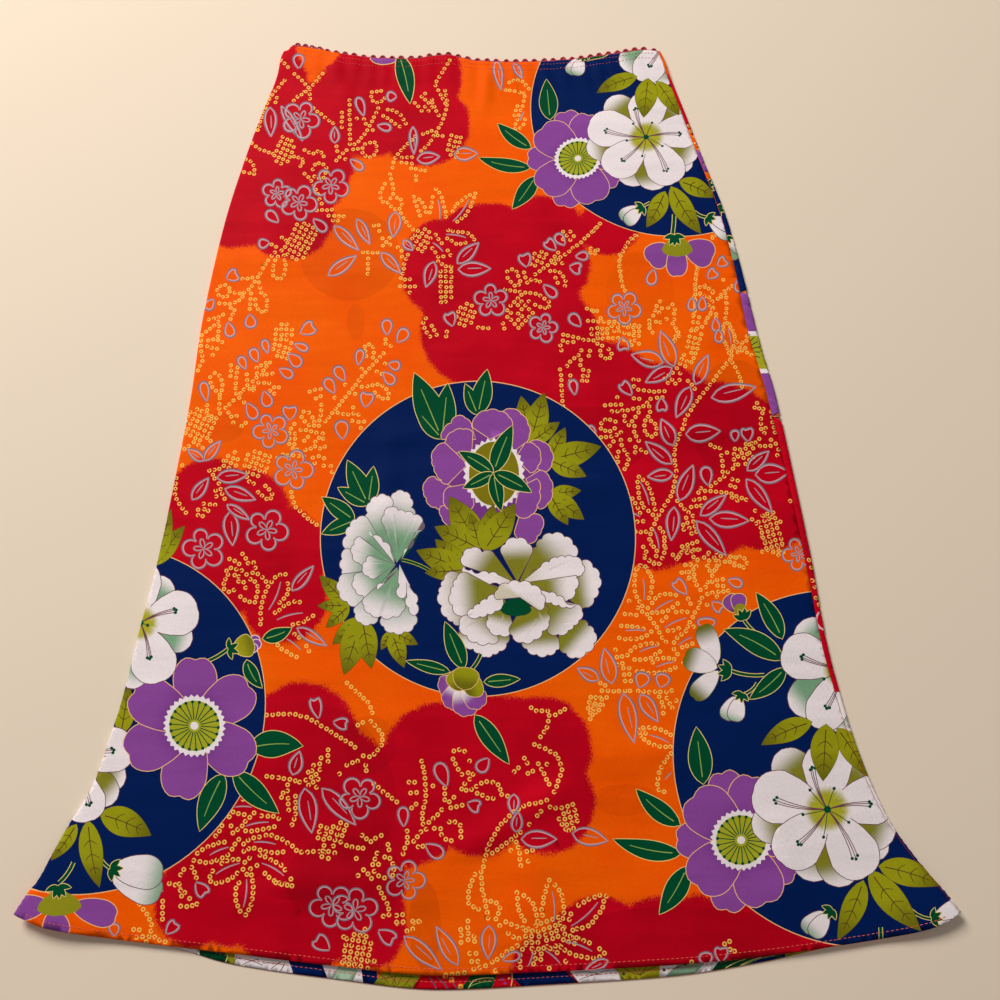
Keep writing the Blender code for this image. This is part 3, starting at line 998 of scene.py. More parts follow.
OLIVE_PETALS = (
    (509.4, 591, 454.7, 572, 444.2, 580.4, 439.5, 593.1, 442.1, 605.7, 447.3, 617.3, 458.9, 625.1),
    (
        488.4, 616.2, 460.6, 629.9, 463.1, 641.5, 473.6, 648.8, 486.2, 656.6, 498.9, 650.9, 506.2, 643.6,
        506.9, 633,
    ),
    (538.9, 618.3, 522.4, 641.5, 527.3, 648.8, 536.8, 654.1, 547.3, 654.5, 555.7, 649.9, 561, 641.5),
    (
        557.8, 624.6, 559.9, 645.7, 566.2, 653, 575.7, 657.2, 585.6, 652, 593.6, 643.6, 593.6, 632,
        582, 620.4,
    ),
    (
        555.7, 591, 583, 560.4, 592.5, 567.8, 598.8, 577.3, 597.4, 588.9, 593.6, 598.3, 584.7, 607.4,
        573.6, 602.5,
    ),
    (518.9, 582.5, 531.5, 555.2, 542, 539.4, 552.5, 534.6, 564.1, 537.3, 572.5, 544.7, 576.3, 556.2),
    (517.4, 582.1, 501.4, 553.1, 505.2, 544.7, 516.8, 539, 527.3, 543.6, 530.9, 555.2),
    (515.3, 583, 463.7, 565.7, 463.5, 555.2, 470.5, 548.9, 482, 552.7, 494.7, 555.2),
    (
        515.3, 583, 497.8, 575.2, 479.9, 573.1, 463.9, 566.8, 465.2, 575.2, 474.7, 581.5, 487.3, 587.8,
        499.9, 584.6,
    ),
    (
        521, 583.6, 530.4, 575.2, 549.4, 565.7, 568.3, 560.4, 580.5, 565.7, 575.7, 577.3, 574.6, 589.9,
        568.3, 599.4, 553.6, 598.3,
    ),
    (521, 583, 541, 566.8, 557.8, 558.3, 572.5, 557.3, 582, 564.7, 582.6, 573.1, 575.7, 575.2),
    (505.2, 593.1, 467.3, 573.1, 456.8, 579.4, 451.5, 593.1, 453, 605.7, 461.4, 615.8, 475.7, 614.1),
    (
        505.2, 599.4, 467.3, 615.2, 459.9, 624.6, 467.3, 635.6, 476.8, 641.9, 488.4, 642.5, 498.9, 639.4,
        501, 622.5,
    ),
    (530.4, 593.1, 575.7, 604.6, 581.6, 611, 578.4, 620.4, 568.3, 629.9, 557.8, 634.1, 547.3, 629.9),
    (530.4, 586.8, 549.4, 593.1, 564.1, 600.4, 575.7, 604, 566.2, 606.7, 551.5, 602.5, 541, 595.2),
    (505.2, 601.5, 496.8, 605.7, 488.4, 619.4, 489.4, 629.3, 499.9, 634.7, 510.4, 633, 511.9, 622.5),
    (
        522, 607.8, 511.1, 625.7, 512.6, 635.6, 523.1, 641.9, 533.6, 639.4, 542, 630.9, 548.3, 621.5,
        546.2, 605.7,
    ),
    (503.1, 591, 494.7, 595.2, 479.9, 604.6, 467.3, 614.1, 479.9, 616.2, 494.7, 611, 503.1, 601.5),
    (
        519.9, 597.3, 496.3, 599.4, 497.8, 589.9, 508.3, 584.2, 519.9, 583, 531.5, 585.7, 541, 594.1,
        544.1, 603.6, 538.9, 610.3,
    ),
)


CENTRE_DISC = (478, 539)
CENTRE_RADIUS = 157
STAR_ROOT = (493.6, 473.1)


def centre_roundel(ink):
    ink.draw(disc(CENTRE_DISC, CENTRE_RADIUS + 0.9, 120), PEACH)
    ink.draw(disc(CENTRE_DISC, CENTRE_RADIUS, 120), BLUE)
    dark_leaves(ink, (442, 439), ((414.3, 373.2), (447.7, 383.7), (415.7, 409)), 0.40)
    dark_leaves(ink, (477.8, 415.2), ((465.2, 384.3), (487.3, 370)), 0.42)
    dark_leaves(ink, (368.4, 504.7), ((347.4, 460.5), (373.7, 466.8), (337.9, 487.8)), 0.42)
    dark_leaves(ink, (354.7, 520.5), ((322.1, 497.3), (322.1, 534.1)), 0.42)
    olive_leaves(ink, (530.4, 442.6), ((521, 396.3), (544.1, 393.1), (559.5, 422.6)), 0.46)
    olive_leaves(ink, (549.4, 460.5), ((565.2, 427.9), (601, 446.8), (586.2, 476.9)), 0.46)
    olive_leaves(ink, (549.4, 494.2), ((581, 491), (584, 519.8), (567.9, 525.3)), 0.46)
    olive_leaves(ink, (349.5, 605.7), ((320, 576), (318, 606), (326.3, 627.8)), 0.44)
    olive_leaves(ink, (362, 618.3), ((332.6, 644.6), (344.2, 675), (371.6, 668.8)), 0.44)
    olive_leaves(ink, (391.5, 631), ((381, 650), (404.2, 667.8), (417.9, 644.6)), 0.46)
    ink.stroke(bowed((402, 560), (432, 572), 0.05, 6), 3.4, (190, 184, 60))
    ink.stroke(bowed((402, 560), (432, 572), 0.05, 6), 2.2, GREEN)
    peony_purple(ink)
    olive_leaves(ink, (480, 549), ((449.4, 496.3), (434.7, 526.8), (470.5, 513)), 0.48)
    olive_leaves(ink, (484, 551), ((493.6, 504.7), (515.7, 503.6)), 0.46)
    olive_leaves(ink, (465, 570), ((435.3, 539.4), (416.4, 550.6), (425, 573)), 0.46)
    five_star(ink, STAR_ROOT, ((512.5, 425.8), (458.9, 452), (463.1, 488.3), (501.4, 511.4), (531.5, 492.7)))
    ink.draw(leaf_outline((400, 560), (420, 531), 6.0), GREEN)
    pale = (7, 8, 15, 16, 17)
    shaded_petals(ink, MIST_PETALS, MIST_GREEN, (120, 100, 112), pale, 0.42, 0.88)
    pale = (9, 11, 15, 18, 19)
    shaded_petals(ink, OLIVE_PETALS, PETAL_OLIVE, OUTLINE_BROWN, pale, 0.48, 0.90)
    heart = fan_outline((516, 598), (516, 616), 30, 5, 0.1)
    ink.draw(heart, GREEN)
    lower_bud(ink)


def peony_purple(ink):
    ink.draw(disc((490, 474), 47, 40), DARK_PURPLE)
    for _, _, shape in scalloped_petals(PURPLE_PETALS, 0.17):
        ink.edged(shape, PURPLE, PEACH, 0.75)
    center = np.array([494.0, 474.0])
    burst = []
    for number in range(60):
        angle = 2 * math.pi * number / 60
        reach = 1.0 if number % 2 else 0.91
        burst.append(center + reach * np.array([31 * math.cos(angle), 36 * math.sin(angle)]))
    ink.draw(np.array(burst), WHITE)
    ink.draw(disc(center, 25, 48, 1.28), (132, 122, 20))


def five_star(ink, root, tips):
    for number, tip in enumerate(tips):
        dark_leaves(ink, root, (tip,), 0.36, 0.02 * (-1) ** number)


def lower_bud(ink):
    dark_leaves(ink, (464, 669), ((445, 622),), 0.36)
    dark_leaves(ink, (450, 672), ((406, 661),), 0.26)
    dark_leaves(ink, (484, 682), ((520, 679),), 0.34)
    ink.stroke(bowed((481, 654), (471, 670), 0.05, 5), 4.0, CREAM)
    ink.stroke(bowed((481, 654), (471, 670), 0.05, 5), 2.8, GREEN)
    dark_leaves(ink, (475, 715), ((509, 764),), 0.32)
    for tip, width in (((440, 690), 24), ((450, 708), 24), ((468, 715), 26), ((482, 706), 22)):
        shape = fan_outline((462, 682), tip, width, 4, 0.12)
        ink.edged(shape, shaded((462, 682), tip, WHITE, PURPLE, 0.25, 0.7), PEACH, 0.6, 4.0)
    for tip, width in (((452, 672), 20), ((482, 684), 22), ((467, 668), 26)):
        shape = fan_outline((464, 690), tip, width, 2, 0.06)
        ink.edged(shape, shaded((464, 690), tip, DARK_OLIVE, OLIVE, 0.2, 0.8), PEACH, 0.6)


# ---------------------------------------------------------------------------------------------
# The garden roundel, which repeats: read from its copy at the lower right, unless it says otherwise
# ---------------------------------------------------------------------------------------------

PETAL_FAN = "angle reach width"

ANEMONE_BACK = table(
    PETAL_FAN,
    (-106, 72, 42),
    (-45, 66, 40),
    (33, 66, 40),
    (102, 74, 44),
    (180, 66, 42),
)

ANEMONE_FRONT = table(
    PETAL_FAN,
    (-80, 66, 46),
    (-8, 66, 50),
    (68, 70, 54),
    (134, 66, 56),
    (222, 67, 56),
)

SINGLE_ANEMONE = table(
    PETAL_FAN,
    (-89, 69, 48),
    (-36, 70, 50),
    (34, 68, 56),
    (102, 75, 50),
    (156, 75, 54),
    (209, 72, 54),
)

BLOSSOM_BACK = table(
    PETAL_FAN,
    (229, 75, 40),
    (166, 77, 42),
    (105, 73, 46),
    (78, 78, 44),
    (38, 74, 34),
    (22, 72, 44),
    (-47, 66, 34),
)

BLOSSOM_FRONT = table(
    PETAL_FAN,
    (-90, 66, 60),
    (194, 77, 64),
    (-12, 70, 60),
    (59, 78, 60),
    (131, 71, 62),
)

BLOSSOM_STAMENS = table(
    "angle reach short",
    (190, 52, 26),
    (130, 44, 25),
    (60, 55, 28),
    (-7, 43, 25),
    (-110, 43, 22),
)

UPPER_BACK = table(
    PETAL_FAN,
    (-59, 62, 36),
    (17, 60, 36),
    (88, 66, 36),
    (140, 66, 40),
    (226, 62, 40),
)

UPPER_FRONT = table(
    PETAL_FAN,
    (-92, 60, 50),
    (-18, 64, 54),
    (57, 62, 54),
    (112, 66, 50),
    (196, 64, 56),
)

UPPER_STAMENS = table(
    "angle reach short",
    (195, 42, 20),
    (112, 42, 22),
    (57, 38, 22),
    (-24, 42, 22),
    (-92, 40, 20),
)

LEFT_UPPER_BACK = table(
    PETAL_FAN,
    (-59, 52, 32),
    (21, 55, 32),
    (98, 66, 32),
)

LEFT_UPPER_FRONT = table(
    PETAL_FAN,
    (-84, 60, 40),
    (-14, 60, 54),
    (71, 63, 56),
)

LEFT_UPPER_STAMENS = table(
    "angle reach short",
    (-19, 37, 8),
    (75, 36, 14),
)

LEFT_LOWER_BACK = table(
    PETAL_FAN,
    (20, 56, 34),
    (43, 58, 34),
)

LEFT_LOWER_FRONT = table(
    PETAL_FAN,
    (-17, 64, 54),
    (73, 62, 52),
)

LEFT_LOWER_STAMENS = table(
    "angle reach short",
    (-16, 42, 10),
    (68, 45, 10),
)

GARDEN_CENTER = (276.5, -244.4)
GARDEN_RADIUS = 133.0
UPPER_GARDEN = (164.9, 337.0)
LEFT_GARDEN = (-309.4, -207.9)


def purple_flower(ink, center, layers, heart):
    """A purple flower from tables of its petals, with a fringe and stamens."""
    center = np.asarray(center, float)
    for layer in layers:
        for petal in layer:
            tip = spoke(center, petal["angle"], petal["reach"])
            shape = fan_outline(center, tip, 0.9 * petal["width"], 2, 0.05, 0.15, 0.62)
            paint = shaded(center, tip, DARK_PURPLE, PURPLE, 0.25, 0.6)
            ink.edged(shape, paint, PEACH, 0.8)
    burst = [
        spoke(center, 360 * number / 64, heart * (1.0 if number % 2 else 0.91)) for number in range(64)
    ]
    ink.draw(np.array(burst), WHITE)
    ink.draw(disc(center, heart * 0.80, 40), (170, 172, 40))
    for number in range(22):
        angle = 360 * number / 22 + 4
        ink.stroke([spoke(center, angle, heart * 0.2), spoke(center, angle, heart * 0.74)], 1.0, GREEN)
    for number in range(22):
        ink.draw(disc(spoke(center, 360 * number / 22 + 4, heart * 0.76), 1.7, 8), GREEN)
    ink.draw(disc(center, heart * 0.13, 14), WHITE)


def white_flower(ink, center, back, front, stamens, heart=19, shade=PETAL_OLIVE):
    """A white flower from tables of its petals, with bunches of stamens."""
    center = np.asarray(center, float)
    for petal in back:
        tip = spoke(center, petal["angle"], petal["reach"])
        shape = fan_outline(center, tip, petal["width"], 3, 0.09, 0.08, 0.6)
        ink.edged(shape, shaded(center, tip, shade, WHITE, 0.68, 0.98), OUTLINE_BROWN, 0.75, 4.6)
    for petal in front:
        tip = spoke(center, petal["angle"], petal["reach"])
        shape = fan_outline(center, tip, 0.81 * petal["width"], 3, 0.08, 0.12, 0.82)
        ink.edged(shape, glow(center, heart, HEART_YELLOW, WHITE, 0.75, 1.25), OUTLINE_BROWN, 0.75, 6.0)
    soft = disc(center, heart * 1.3, 30)
    ink.draw(soft, glow(center, heart, HEART_YELLOW, WHITE, 0.85, 1.28))
    ink.fill_points(soft, 3.4)
    for number, bunch in enumerate(stamens):
        for spread in (-3.2, 0.0, 3.2):
            end = spoke(center, bunch["angle"] + spread, bunch["reach"] * (1.04 if spread == 0 else 1))
            ink.stroke(bowed(center, end, 0.05, 6), 0.85, OUTLINE_BROWN)
            ink.draw(disc(end, 1.75, 8), GREEN)
        angle = bunch["angle"] + 38
        end = spoke(center, angle, bunch["short"])
        ink.stroke(bowed(center, end, 0.02, 4), 0.85, (70, 90, 40))
        ink.draw(disc(end, 1.75, 8), GREEN)
    ink.draw(disc(center, 3.6, 14), GREEN)


def calyx(ink, root, way, size, arms=(-62, -20, 20, 62)):
    """A small dark star that holds a bud. way points towards the bud, in degrees."""
    tips = [spoke(root, way + arm, size) for arm in arms]
    ink.bunch([leaf_outline(root, tip, size * 0.42, 0.0, 7) for tip in tips], GREEN, CREAM, 0.7)


def stem(ink, line, width=2.4):
    ink.stroke(line, width + 1.4, CREAM)
    ink.stroke(line, width, GREEN)


def closed_bud(ink, root, tip, width):
    """Two pale petals folded over each other, shaded at their tip."""
    root = np.asarray(root, float)
    tip = np.asarray(tip, float)
    aside = np.array([tip[1] - root[1], root[0] - tip[0]]) * 0.13
    for side in (-1, 1):
        end = tip + aside * side * 1.5 + (root - tip) * (0.06 if side > 0 else 0)
        shape = fan_outline(root + aside * side * 0.3, end, width * 0.78, 2, 0.04, 0.04, 0.5)
        ink.edged(shape, shaded(root, tip, WHITE, MIST_GREEN, 0.5, 1.05), OUTLINE_BROWN, 0.75, 4.0)


def hanging_flower(ink):
    """Seen whole at the upper right."""
    stem(ink, bowed((674, 215), (672, 236), 0.02, 5), 3.0)
    for root, tip, width in (
        ((668, 246), (649, 263), 26),
        ((684, 246), (713, 258), 28),
        ((676, 243), (677, 277), 20),
    ):
        shape = fan_outline(root, tip, width, 2, 0.06, 0.10, 0.6)
        ink.edged(shape, PURPLE, PEACH, 0.8)
    fan = fan_outline((677, 236), (677, 257), 30, 5, 0.10, 0.0, 0.9)
    ink.draw(fan, HEART_OLIVE)
    calyx(ink, (674, 236), 88, 11, (-75, -28, 0, 28, 75))


def upper_sprigs(ink):
    """Below the upper garden: leaves, a bud, a hanging flower and a bud at the fold."""
    hanging_flower(ink)
    stem(ink, bowed((694, 211.7), (708, 217.5), -0.1, 5), 2.2)
    closed_bud(ink, (710, 219), (733, 234), 17)
    calyx(ink, (707, 217), 35, 9)
    stem(ink, bowed((650, 203), (643, 207), 0.0, 3), 1.6)
    closed_bud(ink, (640, 209), (622, 221.5), 17)
    calyx(ink, (643, 207), 143, 9)
    olive_leaves(ink, (664.9, 191.8), ((646.3, 227.9),), 0.45, 0.03)
    olive_leaves(ink, (670.7, 186.8), ((701, 234),), 0.36, -0.03)
    olive_leaves(ink, (679, 181.8), ((714.7, 197.6),), 0.46, 0.04)


def right_sprigs(ink):
    """Below the right garden, down to the hem and the corner."""
    stem(ink, bowed((880, 927), (880, 948), 0.02, 4), 3.0)
    stem(ink, bowed((906.8, 906.4), (931.7, 917.9), -0.12, 6), 2.2)
    closed_bud(ink, (932, 918), (972, 907), 24)
    calyx(ink, (929, 917), -12, 11)
    closed_bud(ink, (826, 913), (807, 934), 24)
    calyx(ink, (832, 909), 135, 11)
    olive_leaves(ink, (863, 880), ((837, 940),), 0.36, 0.03)
    olive_leaves(ink, (869, 870), ((919, 930),), 0.34, -0.03)
    olive_leaves(ink, (878, 866), ((939, 885),), 0.42, 0.04)


def left_sprigs(ink):
    """Below the left garden: leaves, a hanging flower at the corner and a big bud."""
    stem(ink, bowed((75, 862), (61.7, 882), 0.06, 5), 3.0)
    for root, tip, width in (
        ((52, 902), (14, 909), 25),
        ((74, 904), (117, 917), 27),
        ((58, 908), (60, 936), 26),
    ):
        shape = fan_outline(root, tip, width, 2, 0.06, 0.08, 0.6)
        ink.edged(shape, PURPLE, PEACH, 0.9)
    ink.draw(fan_outline((61, 888), (63, 914), 42, 6, 0.10, 0.0, 0.9), HEART_OLIVE)
    calyx(ink, (60.7, 885), 82, 13, (-75, -28, 0, 28, 75))
    stem(ink, bowed((101.8, 858.4), (114.3, 869.8), -0.08, 5), 2.4)
    closed_bud(ink, (113, 871), (164, 884), 44)
    calyx(ink, (111, 868), 20, 13)
    olive_leaves(ink, (99.9, 814.4), ((151.6, 835.4),), 0.52, 0.04)
    olive_leaves(ink, (88.4, 820), ((100.9, 887),), 0.34, -0.03)
    olive_leaves(ink, (77, 824), ((53, 860),), 0.35, 0.02)


def garden_behind(ink):
    """The purple anemone and the leaves under it."""
    dark_leaves(ink, (703, 784), ((696, 727),), 0.40)
    dark_leaves(ink, (680, 825), ((636, 789),), 0.34, 0.04)
    dark_leaves(ink, (681, 853), ((613, 839),), 0.28, 0.05)
    dark_leaves(ink, (687, 866), ((659, 914),), 0.40, 0.03)
    purple_flower(ink, (740.7, 839.9), (ANEMONE_BACK, ANEMONE_FRONT), 31)


def garden_flowers(ink):
    """The white blossom and the leaves that hang over it."""
    white_flower(ink, (827.0, 809.3), BLOSSOM_BACK, BLOSSOM_FRONT, BLOSSOM_STAMENS)
    olive_leaves(ink, (812, 722), ((761, 745),), 0.40, -0.04)
    olive_leaves(ink, (837, 728), ((868, 777),), 0.38, 0.02)
    olive_leaves(ink, (826, 724), ((822.6, 781),), 0.50)


def upper_flower(ink):
    white_flower(ink, (843, 668), UPPER_BACK, UPPER_FRONT, UPPER_STAMENS, 17, MIST_GREEN)


def garden_top(ink):
    """The upper white blossom, its leaves and the buds at its left."""
    stem(ink, bowed((756.4, 633.6), (743, 619), 0.05, 5))
    purple_bud(ink)
    stem(ink, bowed((764, 675), (731, 671), 0.06, 5), 2.6)
    for root, tip, width in (
        ((717, 664), (702, 625), 21),
        ((718, 671), (693, 698), 20),
        ((717, 668), (684, 656), 24),
    ):
        shape = fan_outline(root, tip, width, 2, 0.05, 0.09, 0.6)
        ink.edged(shape, shaded(root, tip, WHITE, (112, 112, 24), 0.45, 0.95), DARK_OLIVE, 0.6, 3.6)
    calyx(ink, (731, 671), 185, 14, (-50, -18, 18, 50))
    dark_leaves(ink, (782, 639), ((755.8, 592.7),), 0.33, -0.03)
    dark_leaves(ink, (782, 660), ((723.6, 629.6),), 0.33, -0.05)
    stem(ink, bowed((757, 683), (744, 694), 0.1, 5), 2.2)
    dark_leaves(ink, (785, 668), ((749, 699.2),), 0.36, 0.04)
    closed_bud(ink, (738, 697), (729, 721), 22)
    calyx(ink, (742, 693), 115, 10)
    upper_flower(ink)


def purple_bud(ink):
    for root, tip, width in (((738, 612), (727, 596), 17), ((739, 612), (738, 594), 15)):
        shape = fan_outline(root, tip, width, 2, 0.05)
        ink.edged(shape, shaded(root, tip, (110, 60, 90), PURPLE, 0.1, 0.5), CREAM, 0.7)
    ink.draw(disc((740, 610), 6.4, 20), HEART_OLIVE)
    calyx(ink, (744, 620), 250, 12, (-48, -10, 22, 52))


def left_garden_flowers(ink):
    """What the copy at the left edge shows more of: the single anemone, a bud and leaves."""
    stem(ink, bowed((172, 667), (231, 647), -0.10, 9), 2.6)
    olive_leaves(ink, (156, 565), ((185, 526),), 0.36, 0.03)
    olive_leaves(ink, (156, 563), ((171, 509),), 0.30)
    dark_leaves(ink, (263, 639), ((292, 628),), 0.44, -0.05)
    dark_leaves(ink, (247, 660), ((262.5, 688),), 0.42, -0.08)
    for tip, width in (((259, 638), 9), ((261, 644), 9), ((257, 650), 8)):
        shape = fan_outline((248, 645), tip, width, 3, 0.08)
        ink.edged(shape, PURPLE, WHITE, 0.8)
    body = fan_outline((233, 649), (254, 644), 22, 4, 0.05, 0.0, 0.7)
    ink.edged(body, shaded((233, 649), (254, 644), (170, 165, 30), (130, 126, 26), 0.3, 0.9), CREAM, 0.7)
    calyx(ink, (229, 649), -8, 11, (-80, -22, 30, 80))
    dark_leaves(ink, (250, 748), ((303, 746),), 0.50, 0.06)
    dark_leaves(ink, (234, 771), ((279, 813),), 0.38, -0.03)
    dark_leaves(ink, (224, 774), ((200, 831),), 0.38, -0.03)
    purple_flower(ink, (194.6, 725.8), (SINGLE_ANEMONE,), 31.5)


def blue_ground(ink, center):
    """The garden's round ground and its rim, round a place in millimetres."""
    for radius, paint in ((GARDEN_RADIUS + 0.7, PEACH), (GARDEN_RADIUS, BLUE)):
        ink.add(ink.moved(np.asarray(center) + disc((0, 0), radius, 110)), paint)


def garden_roundel(ink, center, sprigs, disc_stretch, stretch=(1.0, 1.0), nudge=(0.0, 0.0), own=True):
    """The whole repeat with its roundel centred at a place on the cloth, in millimetres. Its lower
    sprigs are drawn at the pixels where they are seen, or with the rest if own is False."""
    center = np.asarray(center, float)
    flowers_at = (GARDEN_CENTER, center + np.asarray(nudge, float), stretch)
    ink.put(GARDEN_CENTER, center, disc_stretch)
    blue_ground(ink, GARDEN_CENTER)
    ink.put(*flowers_at)
    garden_top(ink)
    ink.put(LEFT_GARDEN, center, stretch)
    left_garden_flowers(ink)
    ink.put(*flowers_at)
    garden_behind(ink)
    if own:
        ink.stay()
    sprigs(ink)
    ink.put(*flowers_at)
    garden_flowers(ink)
    ink.stay()


def left_roundel(ink):
    """The roundel that the left fold cuts, with its flowers placed as they are seen."""
    blue_ground(ink, LEFT_GARDEN)
    olive_leaves(ink, (121, 734), ((129, 686),), 0.42)
    left_sprigs(ink)
    white_flower(ink, (72, 762), LEFT_LOWER_BACK, LEFT_LOWER_FRONT, LEFT_LOWER_STAMENS)
    left_garden_flowers(ink)
    center = (140.1, 622.7)
    white_flower(ink, center, LEFT_UPPER_BACK, LEFT_UPPER_FRONT, LEFT_UPPER_STAMENS, 15, MIST_GREEN)


# ---------------------------------------------------------------------------------------------
# Small motifs on the ground
# ---------------------------------------------------------------------------------------------

LINE_LEAVES = table(
    "x0 y0 x1 y1 width",
    (496, 62, 501, 91, 9),
    (514, 65, 522, 80, 7),
    (270, 107, 271, 137, 12),
    (281, 106, 303, 142, 9),
    (413, 127, 414, 155, 8),
    (417, 160, 440, 157, 12),
    (334, 226, 359, 251, 11),
    (357, 219, 370, 245, 10),
    (396, 212, 393, 238, 13),
    (328, 276, 357, 256, 12),
    (381, 253, 401, 274, 11),
    (403, 241, 413, 251, 8),
    (457, 264, 479, 243, 12),
    (458, 270, 491, 269, 14),
    (434, 262, 426, 288, 12),
    (204, 461, 221, 441, 10),
    (204, 461, 187, 449, 9),
    (217, 478, 248, 475, 13),
    (192, 500, 209, 478, 11),
    (225, 489, 256, 500, 13),
    (230, 512, 233, 546, 15),
    (227, 505, 250, 520, 9),
    (674, 367, 660, 331, 15),
    (663, 363, 631, 355, 16),
    (672, 368, 645, 383, 13),
    (695, 385, 708, 355, 13),
    (690, 387, 676, 418, 14),
    (711, 398, 756, 387, 17),
    (685, 435, 720, 432, 17),
    (673, 446, 661, 419, 14),
    (672, 464, 645, 442, 13),
    (673, 474, 647, 477, 12),
    (679, 501, 693, 465, 15),
    (674, 507, 671, 541, 13),
    (700, 516, 726, 495, 12),
    (709, 519, 749, 521, 16),
    (696, 521, 726, 556, 14),
    (747, 471, 769, 451, 12),
    (755, 475, 789, 472, 19),
    (746, 479, 772, 513, 14),
    (454, 155, 478, 154, 13),
    (335, 144, 335, 127, 9),
    (292, 591, 314, 566, 11),
    (297, 628, 327, 646, 11),
    (305, 788, 312, 833, 18),
    (322, 788, 356, 825, 16),
    (293, 775, 300, 751, 13),
    (514, 794, 513, 814, 11),
    (516, 832, 518, 811, 11),
    (521, 839, 557, 839, 17),
    (572, 833, 608, 841, 17),
    (623, 693, 634, 743, 17),
    (640, 694, 658, 722, 14),
    (612, 684, 604, 648, 16),
    (599, 680, 577, 668, 12),
    (404, 936, 442, 970, 16),
    (458, 965, 436, 926, 15),
    (489, 925, 488, 959, 15),
    (608, 960, 585, 970, 10),
)

LINE_BLOSSOMS = table(
    "x y radius turn",
    (301, 120, 18, 80),
    (331, 186, 17, 20),
    (277, 194, 14, 60),
    (299, 203, 17, 10),
    (271, 431, 17, 30),
    (293, 470, 19, 0),
    (491, 301, 16, 50),
    (624, 308, 16, 15),
    (543, 328, 14, 70),
    (204, 549, 20, 40),
    (267, 530, 20, 10),
    (360, 797, 20, 90),
    (332, 905, 21, 25),
    (355, 910, 22, 60),
    (405, 880, 19, 0),
    (799, 554, 16, 30),
)

LINE_PETALS = table(
    "x0 y0 x1 y1 width notch",
    (299, 70, 299, 56, 11, 0),
    (364, 117, 358, 98, 9, 0),
    (397, 97, 387, 97, 10, 0),
    (377, 126, 391, 129, 8, 0),
    (350, 160, 363, 170, 9, 0),
    (279, 223, 267, 212, 10, 0),
    (313, 219, 326, 231, 10, 0),
    (270, 243, 259, 245, 10, 0),
    (226, 279, 239, 273, 13, 1),
    (214, 299, 206, 309, 10, 0),
    (250, 314, 251, 328, 12, 0),
    (228, 322, 231, 337, 11, 0),
    (300, 334, 316, 325, 14, 1),
    (387, 336, 387, 320, 11, 0),
    (397, 343, 407, 330, 12, 0),
    (527, 268, 523, 253, 13, 1),
    (556, 251, 545, 240, 11, 1),
    (565, 246, 556, 235, 10, 0),
    (569, 267, 582, 270, 12, 1),
    (453, 327, 448, 312, 12, 1),
    (575, 257, 588, 256, 9, 0),
    (543, 285, 556, 297, 10, 0),
    (581, 327, 570, 315, 11, 0),
    (207, 402, 203, 382, 10, 0),
    (246, 370, 240, 357, 9, 0),
    (258, 363, 252, 349, 10, 0),
    (268, 354, 264, 340, 8, 0),
    (294, 344, 308, 350, 8, 0),
    (288, 354, 301, 366, 12, 0),
    (279, 369, 293, 377, 10, 0),
    (264, 391, 269, 407, 12, 0),
    (290, 421, 290, 405, 15, 1),
    (247, 403, 256, 419, 12, 0),
    (365, 408, 368, 391, 14, 1),
    (358, 366, 361, 350, 9, 0),
    (345, 382, 336, 367, 11, 0),
    (335, 394, 326, 379, 11, 0),
    (388, 364, 400, 367, 10, 0),
    (383, 372, 394, 384, 11, 0),
    (343, 440, 341, 421, 14, 0),
    (575, 396, 572, 380, 9, 0),
    (622, 337, 624, 352, 12, 1),
    (632, 396, 620, 382, 11, 1),
    (596, 434, 588, 427, 7, 0),
    (661, 398, 662, 413, 11, 1),
    (735, 442, 734, 431, 9, 0),
    (748, 442, 746, 427, 13, 1),
    (708, 486, 705, 467, 12, 0),
    (654, 269, 650, 285, 11, 0),
    (707, 279, 717, 270, 11, 1),
    (717, 266, 727, 259, 11, 1),
    (738, 279, 739, 292, 9, 0),
    (691, 298, 692, 311, 9, 0),
    (702, 297, 702, 311, 9, 0),
    (715, 318, 716, 332, 9, 0),
    (718, 329, 719, 343, 9, 0),
    (319, 719, 314, 696, 12, 1),
    (333, 722, 349, 725, 12, 1),
    (404, 827, 403, 807, 11, 0),
    (196, 882, 207, 896, 14, 1),
    (447, 787, 438, 763, 14, 0),
    (489, 758, 478, 771, 13, 0),
    (467, 803, 481, 808, 13, 1),
    (425, 844, 443, 856, 14, 0),
    (330, 950, 314, 937, 16, 1),
    (378, 930, 396, 942, 15, 1),
    (502, 960, 520, 954, 10, 0),
    (706, 966, 705, 952, 14, 0),
    (721, 963, 721, 945, 14, 1),
    (687, 595, 673, 579, 12, 1),
    (727, 580, 742, 585, 10, 0),
    (711, 602, 723, 611, 11, 1),
    (706, 630, 706, 618, 19, 0),
    (639, 688, 644, 673, 15, 0),
    (660, 688, 664, 674, 15, 0),
    (166, 934, 178, 921, 12, 1),
    (115, 936, 115, 923, 11, 0),
)

